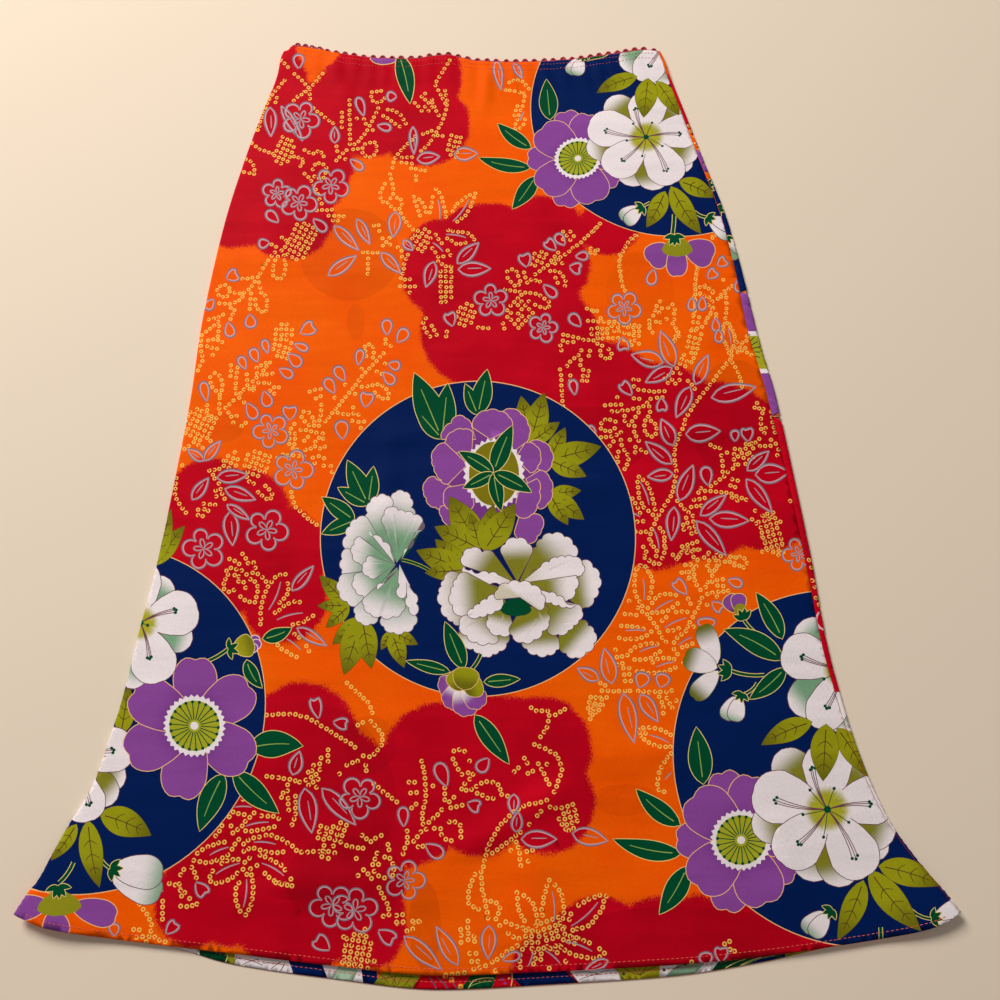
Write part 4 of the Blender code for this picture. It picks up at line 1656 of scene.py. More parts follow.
LINE_STROKES = table(
    "x0 y0 x1 y1",
    (664.7, 779.4, 671, 772.5),
    (649.4, 735, 668.9, 742.8),
    (438, 200, 440, 220),
    (469, 200, 453, 222),
    (446, 235, 466, 238),
    (433, 243, 443, 252),
    (520, 121, 524, 112),
    (640, 482, 649, 505),
    (653, 528, 659, 549),
    (629, 512, 640, 517),
    (281, 582, 269, 610),
    (277, 620, 303, 613),
    (287, 639, 301, 650),
    (728, 329, 731, 345),
    (235, 807, 252, 807),
    (246, 826, 269, 822),
    (254, 842, 276, 844),
    (210, 855, 229, 847),
    (216, 874, 240, 863),
    (262, 863, 285, 875),
    (247, 879, 244, 907),
    (552, 891, 554, 921),
    (598, 902, 571, 926),
    (564, 941, 592, 951),
    (545, 950, 560, 963),
    (533, 951, 528, 966),
    (643, 579, 644, 600),
    (654, 611, 673, 600),
    (664, 628, 686, 618),
    (625, 631, 645, 631),
    (678, 645, 692, 637),
    (639, 652, 658, 646),
    (656, 667, 674, 662),
)

# Each run of dots: the x and y of its places, one after another.
DOT_RUNS = (
    (639.7, 732.8, 642.5, 729.4, 650.8, 727.5, 658.3, 728.9, 664.7, 731.1, 671, 735),
    (643.9, 739.2, 649.4, 743.3, 655.6, 745.6, 662.8, 746.7, 670.3, 746.7),
    (671, 753, 666, 758.6, 662.8, 764.2, 660, 769.7, 657.8, 778, 657.2, 785, 659.2, 790.6, 664.7, 792.2),
    (508.9, 83.6, 515.6, 80.9, 523.1, 83.1, 528.9, 89.8),
    (509.8, 91.1, 517.8, 92.4, 525.8, 94.2, 522.2, 106.7, 518.7, 115.6, 515.6, 124.4),
    (163, 901, 163, 919),
    (140, 904, 149, 916, 152, 925, 150, 936, 146, 942),
    (134, 929, 143, 930, 137, 937, 154, 936, 160, 940, 166, 942),
    (161, 890, 168, 883, 176, 885, 183, 891, 190, 897),
    (275, 91, 269, 100, 263, 114, 258, 130),
    (294, 101, 301, 95, 307, 90),
    (310, 90, 310, 100),
    (314, 109, 333, 124),
    (350, 101, 350, 147),
    (357, 119),
    (342, 113, 342, 128),
    (350, 147, 358, 143, 367, 132, 376, 114, 379, 107),
    (364, 120, 367, 128, 370, 134, 376, 128),
    (372, 93, 383, 91, 385, 99, 379, 104, 372, 101, 371, 95),
    (379, 114, 385, 117, 393, 123, 400, 127),
    (388, 110, 395, 111, 400, 115, 404, 120, 407, 127),
    (350, 147, 339, 159, 336, 162),
    (337, 147, 338, 155),
    (341, 159, 348, 160),
    (
        353, 150, 363, 149, 365, 145, 371, 143, 376, 143, 377, 148, 376, 154, 372, 158, 367, 158,
        363, 154, 359, 149,
    ),
    (415, 137, 403, 149, 394, 160, 392, 170),
    (390, 175, 393, 185, 393, 196, 388, 203, 382, 202, 380, 195, 384, 186, 390, 176),
    (392, 197, 401, 200, 402, 207, 397, 211, 391, 207),
    (401, 214, 405, 221, 409, 226, 415, 232),
    (363, 253, 378, 253),
    (368, 259, 368, 276),
    (398, 248, 404, 253),
    (398, 254, 404, 259),
    (408, 255, 404, 266, 404, 273, 400, 280),
    (405, 280, 412, 280),
    (400, 287, 418, 287),
    (410, 293),
    (252, 143, 259, 149, 265, 151, 275, 155),
    (294, 157, 301, 159, 305, 161, 301, 167),
    (305, 151, 312, 155, 320, 151, 324, 157),
    (313, 170, 316, 164, 323, 164, 327, 170, 324, 178, 316, 179, 312, 173),
    (305, 174, 310, 179, 314, 186, 317, 192, 319, 198, 322, 205),
    (317, 211, 334, 210),
    (329, 216, 345, 217),
    (333, 221, 339, 221),
    (246, 159, 251, 162, 254, 166, 255, 174, 249, 173, 243, 172),
    (282, 238, 286, 241),
    (272, 245, 280, 249, 274, 254, 269, 261, 263, 270, 258, 278, 242, 279),
    (282, 251, 286, 262, 285, 275, 279, 281, 273, 276, 274, 264, 281, 252),
    (258, 278, 253, 286, 247, 292, 242, 294, 230, 292),
    (229, 288, 226, 285, 220, 286, 217, 291, 220, 297, 227, 297, 230, 293),
    (243, 297, 239, 301, 232, 304, 218, 303),
    (234, 305, 235, 311, 230, 320),
    (231, 308, 224, 314, 218, 318, 207, 320),
    (251, 294, 250, 305, 250, 312),
    (259, 283, 261, 292, 266, 297, 268, 304, 266, 312, 260, 312, 256, 307, 255, 297),
    (218, 322, 211, 328, 202, 335),
    (219, 326, 218, 338),
    (445, 91, 447, 100, 447, 106, 443, 120, 438, 130, 429, 144, 421, 152),
    (432, 103, 435, 108, 439, 117),
    (432, 131, 421, 135, 412, 141, 403, 147),
    (438, 136, 444, 137),
    (402, 158, 412, 158),
    (402, 163, 412, 164),
    (411, 169, 425, 171),
    (416, 176, 416, 182),
    (414, 197, 416, 205, 421, 219),
    (419, 200, 424, 205, 426, 213),
    (433, 198, 429, 216),
    (436, 190, 441, 195, 446, 213, 446, 218),
    (475, 194, 465, 198, 455, 206, 452, 213),
    (474, 198, 470, 209, 464, 218, 454, 224),
    (448, 231, 466, 233, 475, 238, 473, 242, 457, 245, 446, 238),
    (436, 235, 441, 243, 446, 248, 451, 256),
    (432, 249, 438, 257, 446, 257),
    (400, 200, 402, 208, 405, 218, 410, 224, 414, 230),
    (438, 262, 446, 267, 454, 269),
    (403, 253, 409, 255),
    (403, 259, 403, 266, 409, 261),
    (506, 91, 511, 93, 523, 94),
    (524, 100, 521, 105, 517, 107, 515, 113, 514, 124, 514, 129, 519, 129, 523, 125, 525, 120),
    (599, 225, 583, 241, 566, 254, 548, 265, 535, 275),
    (580, 247),
    (598, 250, 595, 254, 590, 253),
    (545, 271, 559, 272, 563, 276, 566, 282, 564, 288, 559, 285, 557, 281, 554, 276),
    (507, 272, 512, 270, 517, 273, 519, 278, 521, 284, 516, 287, 512, 284, 508, 280, 506, 276),
    (524, 273, 527, 283, 531, 280, 540, 282),
    (505, 290, 516, 292, 527, 293, 539, 295, 549, 302, 549, 308, 542, 308, 535, 305),
    (478, 328, 492, 329),
    (503, 324, 505, 331),
    (426, 319, 423, 323, 425, 329, 429, 336, 433, 340, 437, 335, 430, 323),
    (447, 332, 446, 337),
    (636, 236, 627, 244, 620, 255, 620, 267, 621, 279, 622, 284, 625, 290),
    (587, 309, 600, 312),
    (588, 321, 642, 326),
    (715, 233, 712, 237),
    (697, 267, 695, 283, 694, 297, 695, 308, 693, 317),
    (699, 288, 709, 288, 716, 294),
    (699, 295, 709, 298, 712, 301, 708, 306),
    (733, 286, 723, 292, 716, 301, 712, 310, 707, 320, 703, 325),
    (726, 293, 727, 303, 725, 322, 722, 338, 727, 348, 732, 363, 739, 374, 742, 387),
    (729, 324, 734, 335, 735, 342, 741, 344, 746, 341, 747, 336, 749, 331),
    (732, 348, 743, 351, 753, 356),
    (726, 364, 715, 378, 707, 389),
    (757, 403, 753, 410),
    (758, 409, 764, 409, 761, 419, 761, 429, 764, 433),
    (771, 412, 773, 425, 776, 435),
    (768, 434, 761, 437, 755, 443, 752, 449),
    (760, 446, 770, 446, 778, 443, 776, 448, 780, 450, 775, 454, 781, 458),
    (783, 435, 790, 467),
    (205, 331, 201, 340, 201, 350, 203, 360, 197, 372),
    (217, 333),
    (208, 340, 215, 339, 222, 342),
    (207, 346, 213, 348, 220, 349),
    (213, 355),
    (266, 363, 257, 368, 257, 378),
    (270, 363, 264, 371, 256, 373),
    (262, 375, 269, 375, 273, 374),
    (259, 383, 264, 383, 273, 384),
    (231, 366, 231, 380),
    (238, 368, 237, 373, 236, 381, 236, 393, 240, 399),
    (247, 375, 248, 384, 246, 388, 236, 399, 224, 410),
    (253, 382, 255, 391, 250, 389),
    (242, 392),
    (244, 403, 238, 395),
    (224, 410, 220, 414, 219, 408, 220, 395),
    (229, 413),
    (215, 373, 220, 376, 223, 387, 221, 395, 213, 388, 210, 381, 210, 375),
    (274, 388, 281, 388, 274, 394, 269, 390),
    (207, 405, 208, 416, 211, 419, 216, 418),
    (232, 417, 239, 416, 233, 424, 239, 423),
    (246, 423, 238, 429, 246, 429),
    (194, 442, 198, 445, 203, 448),
    (189, 446, 184, 449),
    (211, 441),
    (182, 465),
    (391, 346, 378, 360, 367, 371, 350, 392, 337, 408, 323, 424),
    (386, 340, 386, 344),
    (369, 345, 373, 347, 374, 356, 372, 361, 366, 356, 365, 347),
    (380, 363, 385, 364),
    (377, 372, 383, 375),
    (362, 369, 362, 373),
    (345, 385, 346, 390),
    (335, 398, 336, 404),
    (362, 387, 371, 386, 380, 384, 387, 390, 389, 395, 388, 399, 381, 399, 375, 393, 373, 389),
    (350, 392, 358, 395),
    (338, 413, 349, 415, 354, 414, 359, 415),
    (353, 408),
    (352, 421),
    (359, 422, 365, 422),
    (361, 428),
    (310, 392, 315, 387, 315, 393, 321, 390),
    (316, 399, 322, 396, 321, 414, 319, 426),
    (304, 412, 309, 413, 315, 421, 314, 426),
    (302, 417, 295, 424, 290, 430, 289, 447),
    (295, 434, 295, 444, 292, 448, 297, 450),
    (305, 422, 310, 426, 301, 430),
    (306, 430, 317, 433),
    (308, 437, 304, 441),
    (314, 436, 319, 438, 315, 442),
    (323, 434, 323, 439),
    (315, 447, 321, 449, 325, 447),
    (311, 449, 306, 450, 301, 448),
    (324, 424, 332, 422),
    (313, 458, 315, 463),
    (319, 456, 327, 460, 331, 466, 335, 467, 332, 472),
    (320, 462, 325, 467),
    (304, 457, 295, 456, 283, 455, 276, 459),
    (224, 461, 225, 465, 220, 469, 209, 471),
    (213, 475, 215, 479),
    (219, 484, 223, 495, 226, 501),
    (216, 491, 217, 498, 210, 498),
    (210, 505, 217, 505),
    (204, 504, 205, 511, 210, 511),
    (198, 510, 198, 516, 204, 516),
    (176, 478, 175, 493, 176, 499, 179, 504, 187, 514),
    (
        247, 477, 248, 481, 257, 485, 257, 491, 264, 498, 270, 500, 273, 496, 271, 491, 267, 487,
        262, 485,
    ),
    (291, 492, 292, 497, 296, 507, 305, 516, 319, 527),
    (
        747, 333, 743, 342, 735, 354, 717, 377, 703, 394, 696, 402, 686, 418, 681, 432, 676, 442,
        674, 454, 676, 472, 674, 485, 672, 494, 666, 504, 657, 518, 652, 529, 649, 537, 651, 544,
    ),
    (723, 332, 722, 340, 726, 348, 732, 356),
    (733, 362, 737, 369, 743, 382),
    (748, 351, 739, 350),
    (746, 351, 755, 357),
    (677, 332, 676, 336, 673, 342),
    (688, 381, 697, 392),
    (633, 380, 642, 380),
    (634, 387, 638, 390, 652, 392, 668, 391),
    (657, 398, 663, 398),
    (617, 398),
    (605, 406, 611, 405, 623, 405),
    (612, 412, 624, 411, 641, 408, 646, 405, 651, 399),
    (634, 399, 641, 400, 651, 405),
    (640, 408, 637, 416, 624, 430, 619, 435, 611, 437, 601, 438),
    (624, 411, 624, 417, 625, 424),
    (615, 422, 606, 419, 601, 424, 601, 430, 608, 432, 614, 430, 616, 425),
    (649, 407, 650, 415, 644, 422, 645, 434, 650, 438, 656, 434, 656, 425, 650, 421),
    (635, 416, 634, 433, 637, 440, 641, 442, 641, 450, 647, 453),
    (630, 440, 635, 442, 635, 453),
    (613, 442, 607, 450),
    (620, 435, 621, 444, 628, 457, 628, 463, 624, 470, 618, 464, 617, 458, 618, 452),
    (639, 477, 637, 483, 639, 497, 643, 507, 649, 512, 657, 518),
    (643, 480, 648, 485, 651, 493, 654, 505, 656, 512),
    (627, 497, 632, 499, 635, 503, 638, 509, 641, 515),
    (632, 521, 641, 522, 645, 521),
    (635, 532, 646, 532, 652, 529),
    (660, 528, 664, 534, 665, 548),
    (643, 547, 647, 554, 642, 557, 649, 560, 656, 564, 662, 564),
    (677, 501, 682, 507, 693, 516),
    (697, 542, 692, 544, 682, 552, 675, 561),
    (699, 550, 686, 551),
    (686, 565, 696, 567, 697, 560, 692, 557),
    (698, 493, 703, 485, 704, 491, 710, 491, 728, 493, 746, 500),
    (694, 500, 706, 498),
    (691, 507, 701, 506),
    (
        711, 486, 723, 477, 733, 467, 743, 458, 753, 448, 758, 440, 763, 434, 766, 427, 762, 421,
        759, 408, 758, 403,
    ),
    (723, 477, 722, 461, 721, 453, 716, 454),
    (720, 448, 713, 447, 707, 442),
    (727, 453),
    (735, 449, 734, 456, 733, 469),
    (740, 450, 745, 462),
    (746, 444, 757, 443, 762, 449, 767, 446, 772, 442, 781, 449, 789, 459, 791, 467),
    (771, 440, 777, 441, 783, 436, 788, 448),
    (775, 448, 775, 453, 781, 457),
    (754, 411, 764, 408),
    (770, 416, 772, 422, 767, 427, 780, 437),
    (727, 478, 739, 481),
    (730, 486, 737, 488),
    (732, 498, 739, 502),
    (755, 511, 751, 514, 752, 520, 762, 529, 761, 536, 765, 542),
    (762, 516, 772, 517),
    (762, 552, 782, 545),
    (778, 555, 783, 552),
    (790, 501, 794, 497, 791, 505),
    (704, 558, 709, 552),
    (729, 560, 735, 557, 743, 557, 747, 564, 743, 568, 737, 565, 731, 561),
    (719, 564, 713, 572, 708, 572, 707, 566),
    (637, 569, 641, 566, 647, 569, 651, 577),
    (681, 573, 694, 571),
    (688, 579, 694, 579),
    (563, 335, 573, 337, 584, 340, 592, 340, 597, 344, 602, 346),
    (563, 341, 568, 343, 574, 342),
    (560, 346, 562, 354),
    (600, 351, 601, 356, 604, 359, 609, 359, 612, 355, 609, 350, 604, 347, 600, 347),
    (597, 336, 601, 332, 606, 333),
    (581, 351, 578, 356, 573, 359, 569, 363, 566, 368, 570, 368),
    (581, 360, 580, 367),
    (590, 351, 589, 356),
    (570, 376, 570, 381),
    (560, 370, 561, 378, 563, 408),
    (
        243, 554, 246, 558, 249, 564, 245, 567, 243, 571, 237, 570, 232, 568, 227, 570, 226, 573,
        229, 576, 225, 580, 224, 584, 224, 589, 228, 592, 232, 591, 237, 590, 237, 586, 239, 581,
        239, 575, 234, 575,
    ),
    (230, 559, 235, 561, 237, 563, 242, 566, 245, 567),
    (
        254, 563, 256, 569, 253, 573, 258, 574, 262, 577, 266, 581, 268, 587, 265, 594, 263, 601,
        261, 609, 261, 628,
    ),
    (
        247, 575, 250, 579, 255, 581, 258, 586, 258, 592, 257, 597, 255, 603, 249, 602, 243, 599,
        239, 595,
    ),
    (243, 577, 244, 583, 246, 588),
    (263, 585),
    (272, 582, 276, 577, 281, 575, 287, 574, 288, 581, 289, 592, 286, 596, 282, 601, 278, 605),
    (300, 602, 294, 602, 288, 604, 283, 607, 278, 612, 273, 613),
    (293, 625, 304, 622, 310, 618, 314, 615),
    (295, 634, 301, 639, 305, 643, 308, 648, 310, 654),
    (278, 645, 282, 649, 287, 652, 292, 655, 298, 658),
    (
        347, 683, 355, 691, 366, 700, 372, 709, 372, 714, 368, 718, 376, 727, 382, 733, 383, 743,
        375, 754, 367, 758,
    ),
    (358, 725, 364, 722, 371, 724),
    (267, 715, 279, 714, 294, 714, 306, 717, 316, 722, 327, 729, 338, 736, 354, 746, 365, 758),
    (369, 758, 359, 761, 348, 764, 343, 769, 337, 777),
    (366, 765, 367, 772),
    (374, 784, 384, 792, 394, 800, 400, 804),
    (422, 761, 424, 770, 425, 779, 426, 797, 423, 810, 422, 822, 427, 830),
    (409, 782, 417, 782),
    (411, 793, 418, 792),
    (412, 808, 417, 803),
    (407, 831, 408, 841, 403, 854),
    (421, 832, 416, 839, 411, 844, 416, 847, 423, 846),
    (328, 750, 328, 758, 328, 765),
    (321, 758, 320, 765, 320, 772),
    (314, 765, 312, 772, 319, 780),
    (267, 776, 280, 778, 293, 780, 300, 782),
    (288, 785, 288, 792, 282, 793, 281, 801),
    (296, 796, 296, 804, 296, 812, 294, 820, 292, 826),
    (288, 798, 289, 812),
    (362, 835, 371, 842, 377, 837, 382, 835),
    (347, 845, 355, 848, 363, 848),
    (357, 852, 357, 860),
    (388, 844, 389, 851),
    (377, 853, 375, 859, 373, 865),
    (385, 857, 390, 857, 393, 863, 394, 870, 393, 877),
    (373, 865, 383, 863),
    (364, 869, 370, 875, 375, 882, 381, 889, 382, 894, 386, 901, 389, 907, 389, 915, 382, 916),
    (375, 871, 379, 875, 387, 878),
    (359, 875),
    (397, 915, 405, 914),
    (397, 923, 405, 922),
    (414, 922, 420, 922),
    (266, 835, 271, 835, 282, 839, 292, 845, 297, 851, 305, 852, 319, 851, 326, 852),
    (244, 844, 250, 839, 258, 837, 266, 835),
    (244, 851, 252, 847, 263, 851, 274, 853, 288, 851),
    (245, 862, 253, 855, 261, 855, 273, 860, 282, 865, 288, 871, 292, 878),
    (257, 865, 265, 873, 272, 879, 279, 882, 293, 885),
    (293, 885, 292, 878),
    (
        243, 869, 250, 865, 252, 876, 254, 884, 254, 894, 251, 906, 244, 918, 237, 903, 236, 889,
        240, 882, 246, 876, 250, 870,
    ),
    (242, 869, 233, 877, 225, 881, 216, 883, 209, 880, 213, 871, 221, 864, 228, 860, 239, 859),
    (228, 855, 220, 859, 209, 863, 198, 861, 192, 860, 196, 854, 205, 848, 218, 843, 228, 842),
    (192, 867, 195, 873, 197, 878),
    (192, 860, 183, 871, 180, 877),
    (233, 833, 241, 827, 245, 822, 255, 812),
    (239, 839, 234, 846, 231, 851),
    (
        233, 812, 241, 814, 249, 815, 258, 816, 266, 816, 275, 816, 281, 820, 276, 825, 272, 828,
        264, 829, 252, 831, 245, 831,
    ),
    (233, 812, 228, 819, 223, 824, 220, 831, 215, 837),
    (231, 826),
    (243, 799),
    (180, 884, 181, 891, 182, 898, 190, 898),
    (181, 906, 189, 906, 197, 904),
    (
        531, 708, 537, 711, 549, 711, 549, 717, 547, 727, 540, 738, 533, 744, 546, 749, 557, 755,
        562, 768, 559, 779, 555, 790, 547, 800, 540, 802, 525, 805, 513, 812, 502, 823, 494, 835,
        488, 847, 484, 864, 481, 872, 482, 888, 486, 905, 488, 918,
    ),
    (565, 709, 555, 715),
    (544, 774, 549, 784, 555, 790),
    (544, 774, 540, 767, 536, 761),
    (547, 764, 540, 767),
    (533, 771, 526, 774),
    (524, 758, 528, 764, 520, 767, 514, 772),
    (544, 806, 539, 813, 531, 823, 521, 832, 510, 840, 498, 849, 492, 853),
    (544, 806, 557, 808),
    (515, 836, 517, 844, 519, 851, 520, 861, 522, 868),
    (505, 850, 512, 850),
    (527, 851, 533, 850),
    (528, 861),
    (
        422, 761, 424, 770, 425, 778, 426, 788, 427, 797, 424, 805, 423, 816, 422, 822, 425, 828,
        421, 833, 416, 839, 410, 845, 405, 853,
    ),
    (409, 782, 417, 782),
    (411, 794, 418, 792),
    (417, 802, 412, 808),
    (433, 786),
    (445, 788, 445, 800, 449, 802),
    (454, 751, 462, 749, 469, 755, 470, 763),
    (453, 759, 457, 767, 461, 773, 465, 778),
    (468, 773, 473, 774, 470, 779),
    (465, 784, 461, 789, 453, 798, 445, 806, 436, 816, 429, 822),
    (466, 790, 473, 789, 479, 784, 489, 781, 496, 783, 500, 786, 501, 794, 508, 796),
    (477, 793, 488, 798, 495, 798),
    (451, 808, 462, 805),
    (
        429, 830, 436, 828, 441, 829, 445, 824, 449, 822, 455, 822, 461, 826, 461, 838, 453, 841,
        447, 840, 442, 835, 440, 830,
    ),
    (407, 832, 408, 839),
    (416, 846, 422, 846),
    (477, 869, 472, 881, 469, 889, 468, 902, 476, 909, 481, 908),
    (491, 901, 496, 902, 500, 908, 498, 914, 495, 920),
    (488, 918, 496, 920, 505, 921, 518, 926, 528, 928),
    (496, 920, 502, 928, 512, 936, 523, 939),
    (517, 892, 518, 900, 518, 907, 520, 914, 525, 921),
    (524, 895, 530, 900, 534, 905, 536, 912, 537, 918, 538, 924),
    (549, 880, 546, 888, 544, 895, 543, 902, 541, 908, 543, 916),
    (555, 885, 560, 891, 563, 897, 564, 910, 563, 918),
    (606, 896, 598, 895, 585, 901, 578, 905, 574, 910, 570, 915, 568, 923),
    (606, 896, 603, 902, 603, 908, 598, 914, 594, 920, 588, 926, 581, 928, 575, 929),
    (559, 924, 567, 929),
    (405, 914, 405, 929),
    (414, 921, 420, 921),
    (413, 929),
    (468, 921, 468, 937),
    (461, 929, 461, 937),
    (474, 936),
    (559, 819, 569, 834),
    (602, 691, 630, 691),
    (643, 547, 647, 553, 642, 558, 650, 561, 656, 565, 662, 563),
    (651, 542, 654, 548, 658, 553, 655, 558),
    (664, 541, 664, 546),
    (664, 553, 662, 558),
    (673, 555, 678, 557, 675, 561),
    (678, 557, 681, 553, 682, 547, 687, 545, 691, 544, 697, 542),
    (687, 553, 693, 551, 699, 550),
    (693, 557, 697, 560),
    (685, 565, 691, 565, 694, 571, 694, 578, 696, 584, 698, 588, 702, 592, 699, 593),
    (689, 572, 689, 578),
    (682, 573),
    (704, 558, 706, 555, 710, 552),
    (714, 558, 719, 562, 717, 566, 714, 571, 712, 576, 709, 570, 708, 565),
    (722, 558, 725, 562),
    (730, 557, 737, 558),
    (730, 562, 732, 565, 737, 567),
    (
        699, 593, 702, 598, 699, 603, 698, 608, 695, 612, 693, 617, 690, 621, 687, 626, 688, 630,
        683, 633, 679, 636, 675, 640, 671, 646,
    ),
    (702, 592, 706, 586, 708, 581, 713, 582, 717, 580, 724, 579),
    (707, 594, 712, 593, 717, 592, 722, 592, 728, 591),
    (717, 586, 724, 586),
    (717, 597),
    (698, 608, 702, 607, 707, 605),
    (688, 599, 690, 604, 693, 609, 695, 612),
    (
        640, 566, 636, 569, 635, 573, 635, 578, 634, 584, 635, 591, 636, 596, 640, 602, 643, 607,
        648, 608,
    ),
    (645, 567, 648, 572, 651, 577, 652, 582, 652, 586, 651, 592, 649, 597, 646, 602),
    (652, 603, 655, 598, 660, 595, 667, 594, 674, 595, 679, 597),
    (
        629, 601, 631, 603, 636, 607, 641, 611, 648, 615, 650, 619, 654, 624, 657, 628, 660, 634,
        663, 639, 667, 643, 671, 646, 674, 650, 678, 655, 681, 658,
    ),
    (677, 604, 672, 608, 667, 611, 662, 612, 656, 613, 651, 613),
    (625, 614, 630, 615, 636, 615, 642, 615, 646, 615),
    (687, 612, 682, 612, 675, 612, 669, 615, 664, 619, 660, 623, 657, 628),
    (621, 626, 627, 626, 633, 627, 639, 628, 645, 630),
    (693, 627, 687, 630, 681, 627, 676, 630, 670, 631, 665, 630),
    (651, 632, 646, 636, 641, 638, 635, 639, 630, 639, 624, 639, 619, 638),
    (
        662, 646, 656, 644, 650, 643, 645, 644, 639, 646, 634, 648, 629, 652, 627, 656, 620, 657,
        615, 657,
    ),
    (615, 650),
    (671, 646, 675, 646, 679, 648, 685, 647, 689, 644, 695, 643),
    (660, 652, 655, 655, 650, 659, 643, 660, 637, 660, 632, 659, 627, 656),
    (674, 659, 668, 658, 662, 658, 657, 659, 652, 663, 648, 666),
    (
        678, 663, 674, 669, 668, 671, 663, 673, 657, 673, 652, 673, 647, 673, 642, 671, 636, 672,
        638, 666, 637, 660,
    ),
    (681, 658, 683, 663, 685, 667),
    (617, 665, 623, 663, 623, 669),
    (629, 668),
    (624, 675, 629, 674),
    (625, 681, 631, 681),
    (
        600, 683, 606, 686, 612, 688, 617, 689, 623, 690, 628, 692, 633, 690, 640, 691, 647, 692,
        652, 692, 659, 692, 665, 692, 671, 691, 675, 690,
    ),
    (627, 688),
    (600, 690, 607, 692),
    (595, 698, 602, 698, 609, 697),
    (591, 705, 598, 706, 604, 705),
    (590, 713, 597, 712),
    (590, 719),
    (659, 697, 663, 705, 663, 712, 664, 717),
    (667, 698, 670, 705, 674, 710),
    (676, 701),
    (277, 882, 284, 884, 293, 885),
    (365, 929, 364, 936),
    (344, 937),
    (413, 921, 420, 921),
    (413, 929, 405, 931),
    (397, 922, 404, 922),
    (461, 930, 461, 946),
    (468, 921, 468, 944),
    (474, 935, 475, 943),
    (470, 953, 478, 953),
    (472, 961, 479, 961),
    (474, 969, 486, 965),
    (446, 975, 455, 974, 468, 972),
    (331, 968, 372, 968),
    (344, 962, 378, 961),
    (517, 945, 511, 949, 504, 953, 499, 958, 492, 962, 487, 965, 482, 968),
    (530, 940, 523, 946, 520, 955, 520, 963, 521, 970),
    (534, 952, 536, 960, 530, 968),
    (541, 953, 541, 960, 546, 965, 551, 970),
    (547, 946, 555, 950, 560, 955, 565, 961, 569, 965),
    (
        560, 946, 565, 950, 570, 953, 578, 956, 585, 957, 593, 958, 599, 957, 604, 953, 599, 948,
        593, 944, 586, 941, 579, 938, 570, 937,
    ),
    (724, 944, 730, 941, 735, 947, 734, 955),
    (730, 949),
    (691, 962),
    (495, 970),
    (
        635, 236, 631, 239, 627, 244, 624, 249, 621, 255, 619, 261, 619, 267, 620, 273, 621, 278,
        622, 285, 625, 291,
    ),
    (600, 224, 594, 231, 590, 235),
    (591, 249, 597, 252),
    (593, 311, 600, 318, 604, 322, 610, 322, 617, 322, 622, 325, 627, 328, 634, 328, 640, 327),
    (607, 329, 612, 326),
    (614, 331, 621, 332, 627, 334, 632, 335, 637, 337, 642, 334),
    (621, 336, 624, 340, 630, 341, 635, 341, 640, 345, 633, 346),
    (660, 302, 656, 307, 654, 312, 653, 318, 658, 314, 663, 307),
    (672, 305, 668, 308, 665, 312),
    (672, 305, 675, 310, 674, 314, 674, 319, 672, 323, 677, 331, 680, 335, 675, 340),
    (649, 321, 651, 322, 648, 326, 651, 331, 655, 335, 658, 332),
    (656, 322, 659, 321, 662, 325, 667, 318),
    (698, 265, 696, 275, 695, 283, 695, 297, 695, 308, 693, 316),
    (695, 290, 699, 288, 704, 286, 708, 289, 712, 293, 716, 294),
    (700, 294, 704, 297, 709, 298, 712, 302, 716, 305),
    (
        732, 286, 728, 290, 721, 297, 718, 300, 712, 310, 710, 315, 707, 319, 704, 325, 700, 328,
        690, 330,
    ),
    (
        726, 298, 726, 307, 726, 311, 726, 316, 725, 321, 728, 325, 732, 330, 734, 335, 735, 341,
        733, 348, 730, 353,
    ),
    (716, 314, 716, 318),
    (723, 327, 722, 338, 725, 344, 730, 353, 732, 358, 721, 370),
    (749, 331, 747, 336, 746, 342, 742, 343, 739, 349, 736, 355),
    (745, 348, 748, 354, 754, 356),
    (723, 280),
    (712, 238, 716, 235),
    (281, 61, 310, 89),
    (310, 89, 324, 73),
    (310, 89, 292, 101),
    (285, 80, 265, 103),
    (450, 62, 435, 85, 446, 105),
)

DOT_PATCHES = table(
    "x0 y0 x1 y1 across",
    (277, 98, 275, 105, 3),
    (279, 163, 291, 138, 4),
    (292, 257, 310, 223, 5),
    (379, 231, 379, 221, 3),
    (383, 246, 391, 237, 3),
    (420, 109, 431, 98, 4),
    (451, 156, 457, 134, 3),
    (416, 248, 429, 228, 4),
    (446, 267, 446, 303, 3),
    (563, 240, 571, 232, 3),
    (535, 266, 543, 249, 3),
    (555, 264, 565, 253, 3),
    (511, 321, 531, 300, 5),
    (462, 325, 471, 302, 4),
    (592, 334, 640, 332, 3),
    (284, 340, 284, 321, 4),
    (699, 318, 690, 358, 3),
    (765, 515, 776, 552, 4),
    (280, 357, 286, 334, 4),
    (193, 437, 205, 412, 6),
    (253, 474, 262, 449, 5),
    (229, 468, 236, 452, 3),
    (697, 332, 683, 371, 3),
    (684, 370, 667, 384, 3),
    (586, 371, 584, 386, 2),
    (614, 333, 640, 343, 3),
    (686, 518, 692, 537, 3),
    (753, 449, 735, 467, 3),
    (772, 520, 767, 544, 4),
    (708, 553, 719, 563, 3),
    (324, 827, 321, 839, 2),
    (341, 823, 333, 846, 3),
    (330, 846, 328, 860, 3),
    (308, 772, 317, 788, 3),
    (567, 806, 574, 829, 3),
    (596, 698, 591, 720, 3),
    (547, 921, 553, 939, 5),
    (559, 932, 580, 939, 3),
    (639, 733, 649, 728, 2),
    (360, 935, 354, 969, 5),
    (538, 930, 538, 951, 5),
    (560, 928, 555, 946, 3),
    (697, 321, 692, 359, 3),
)
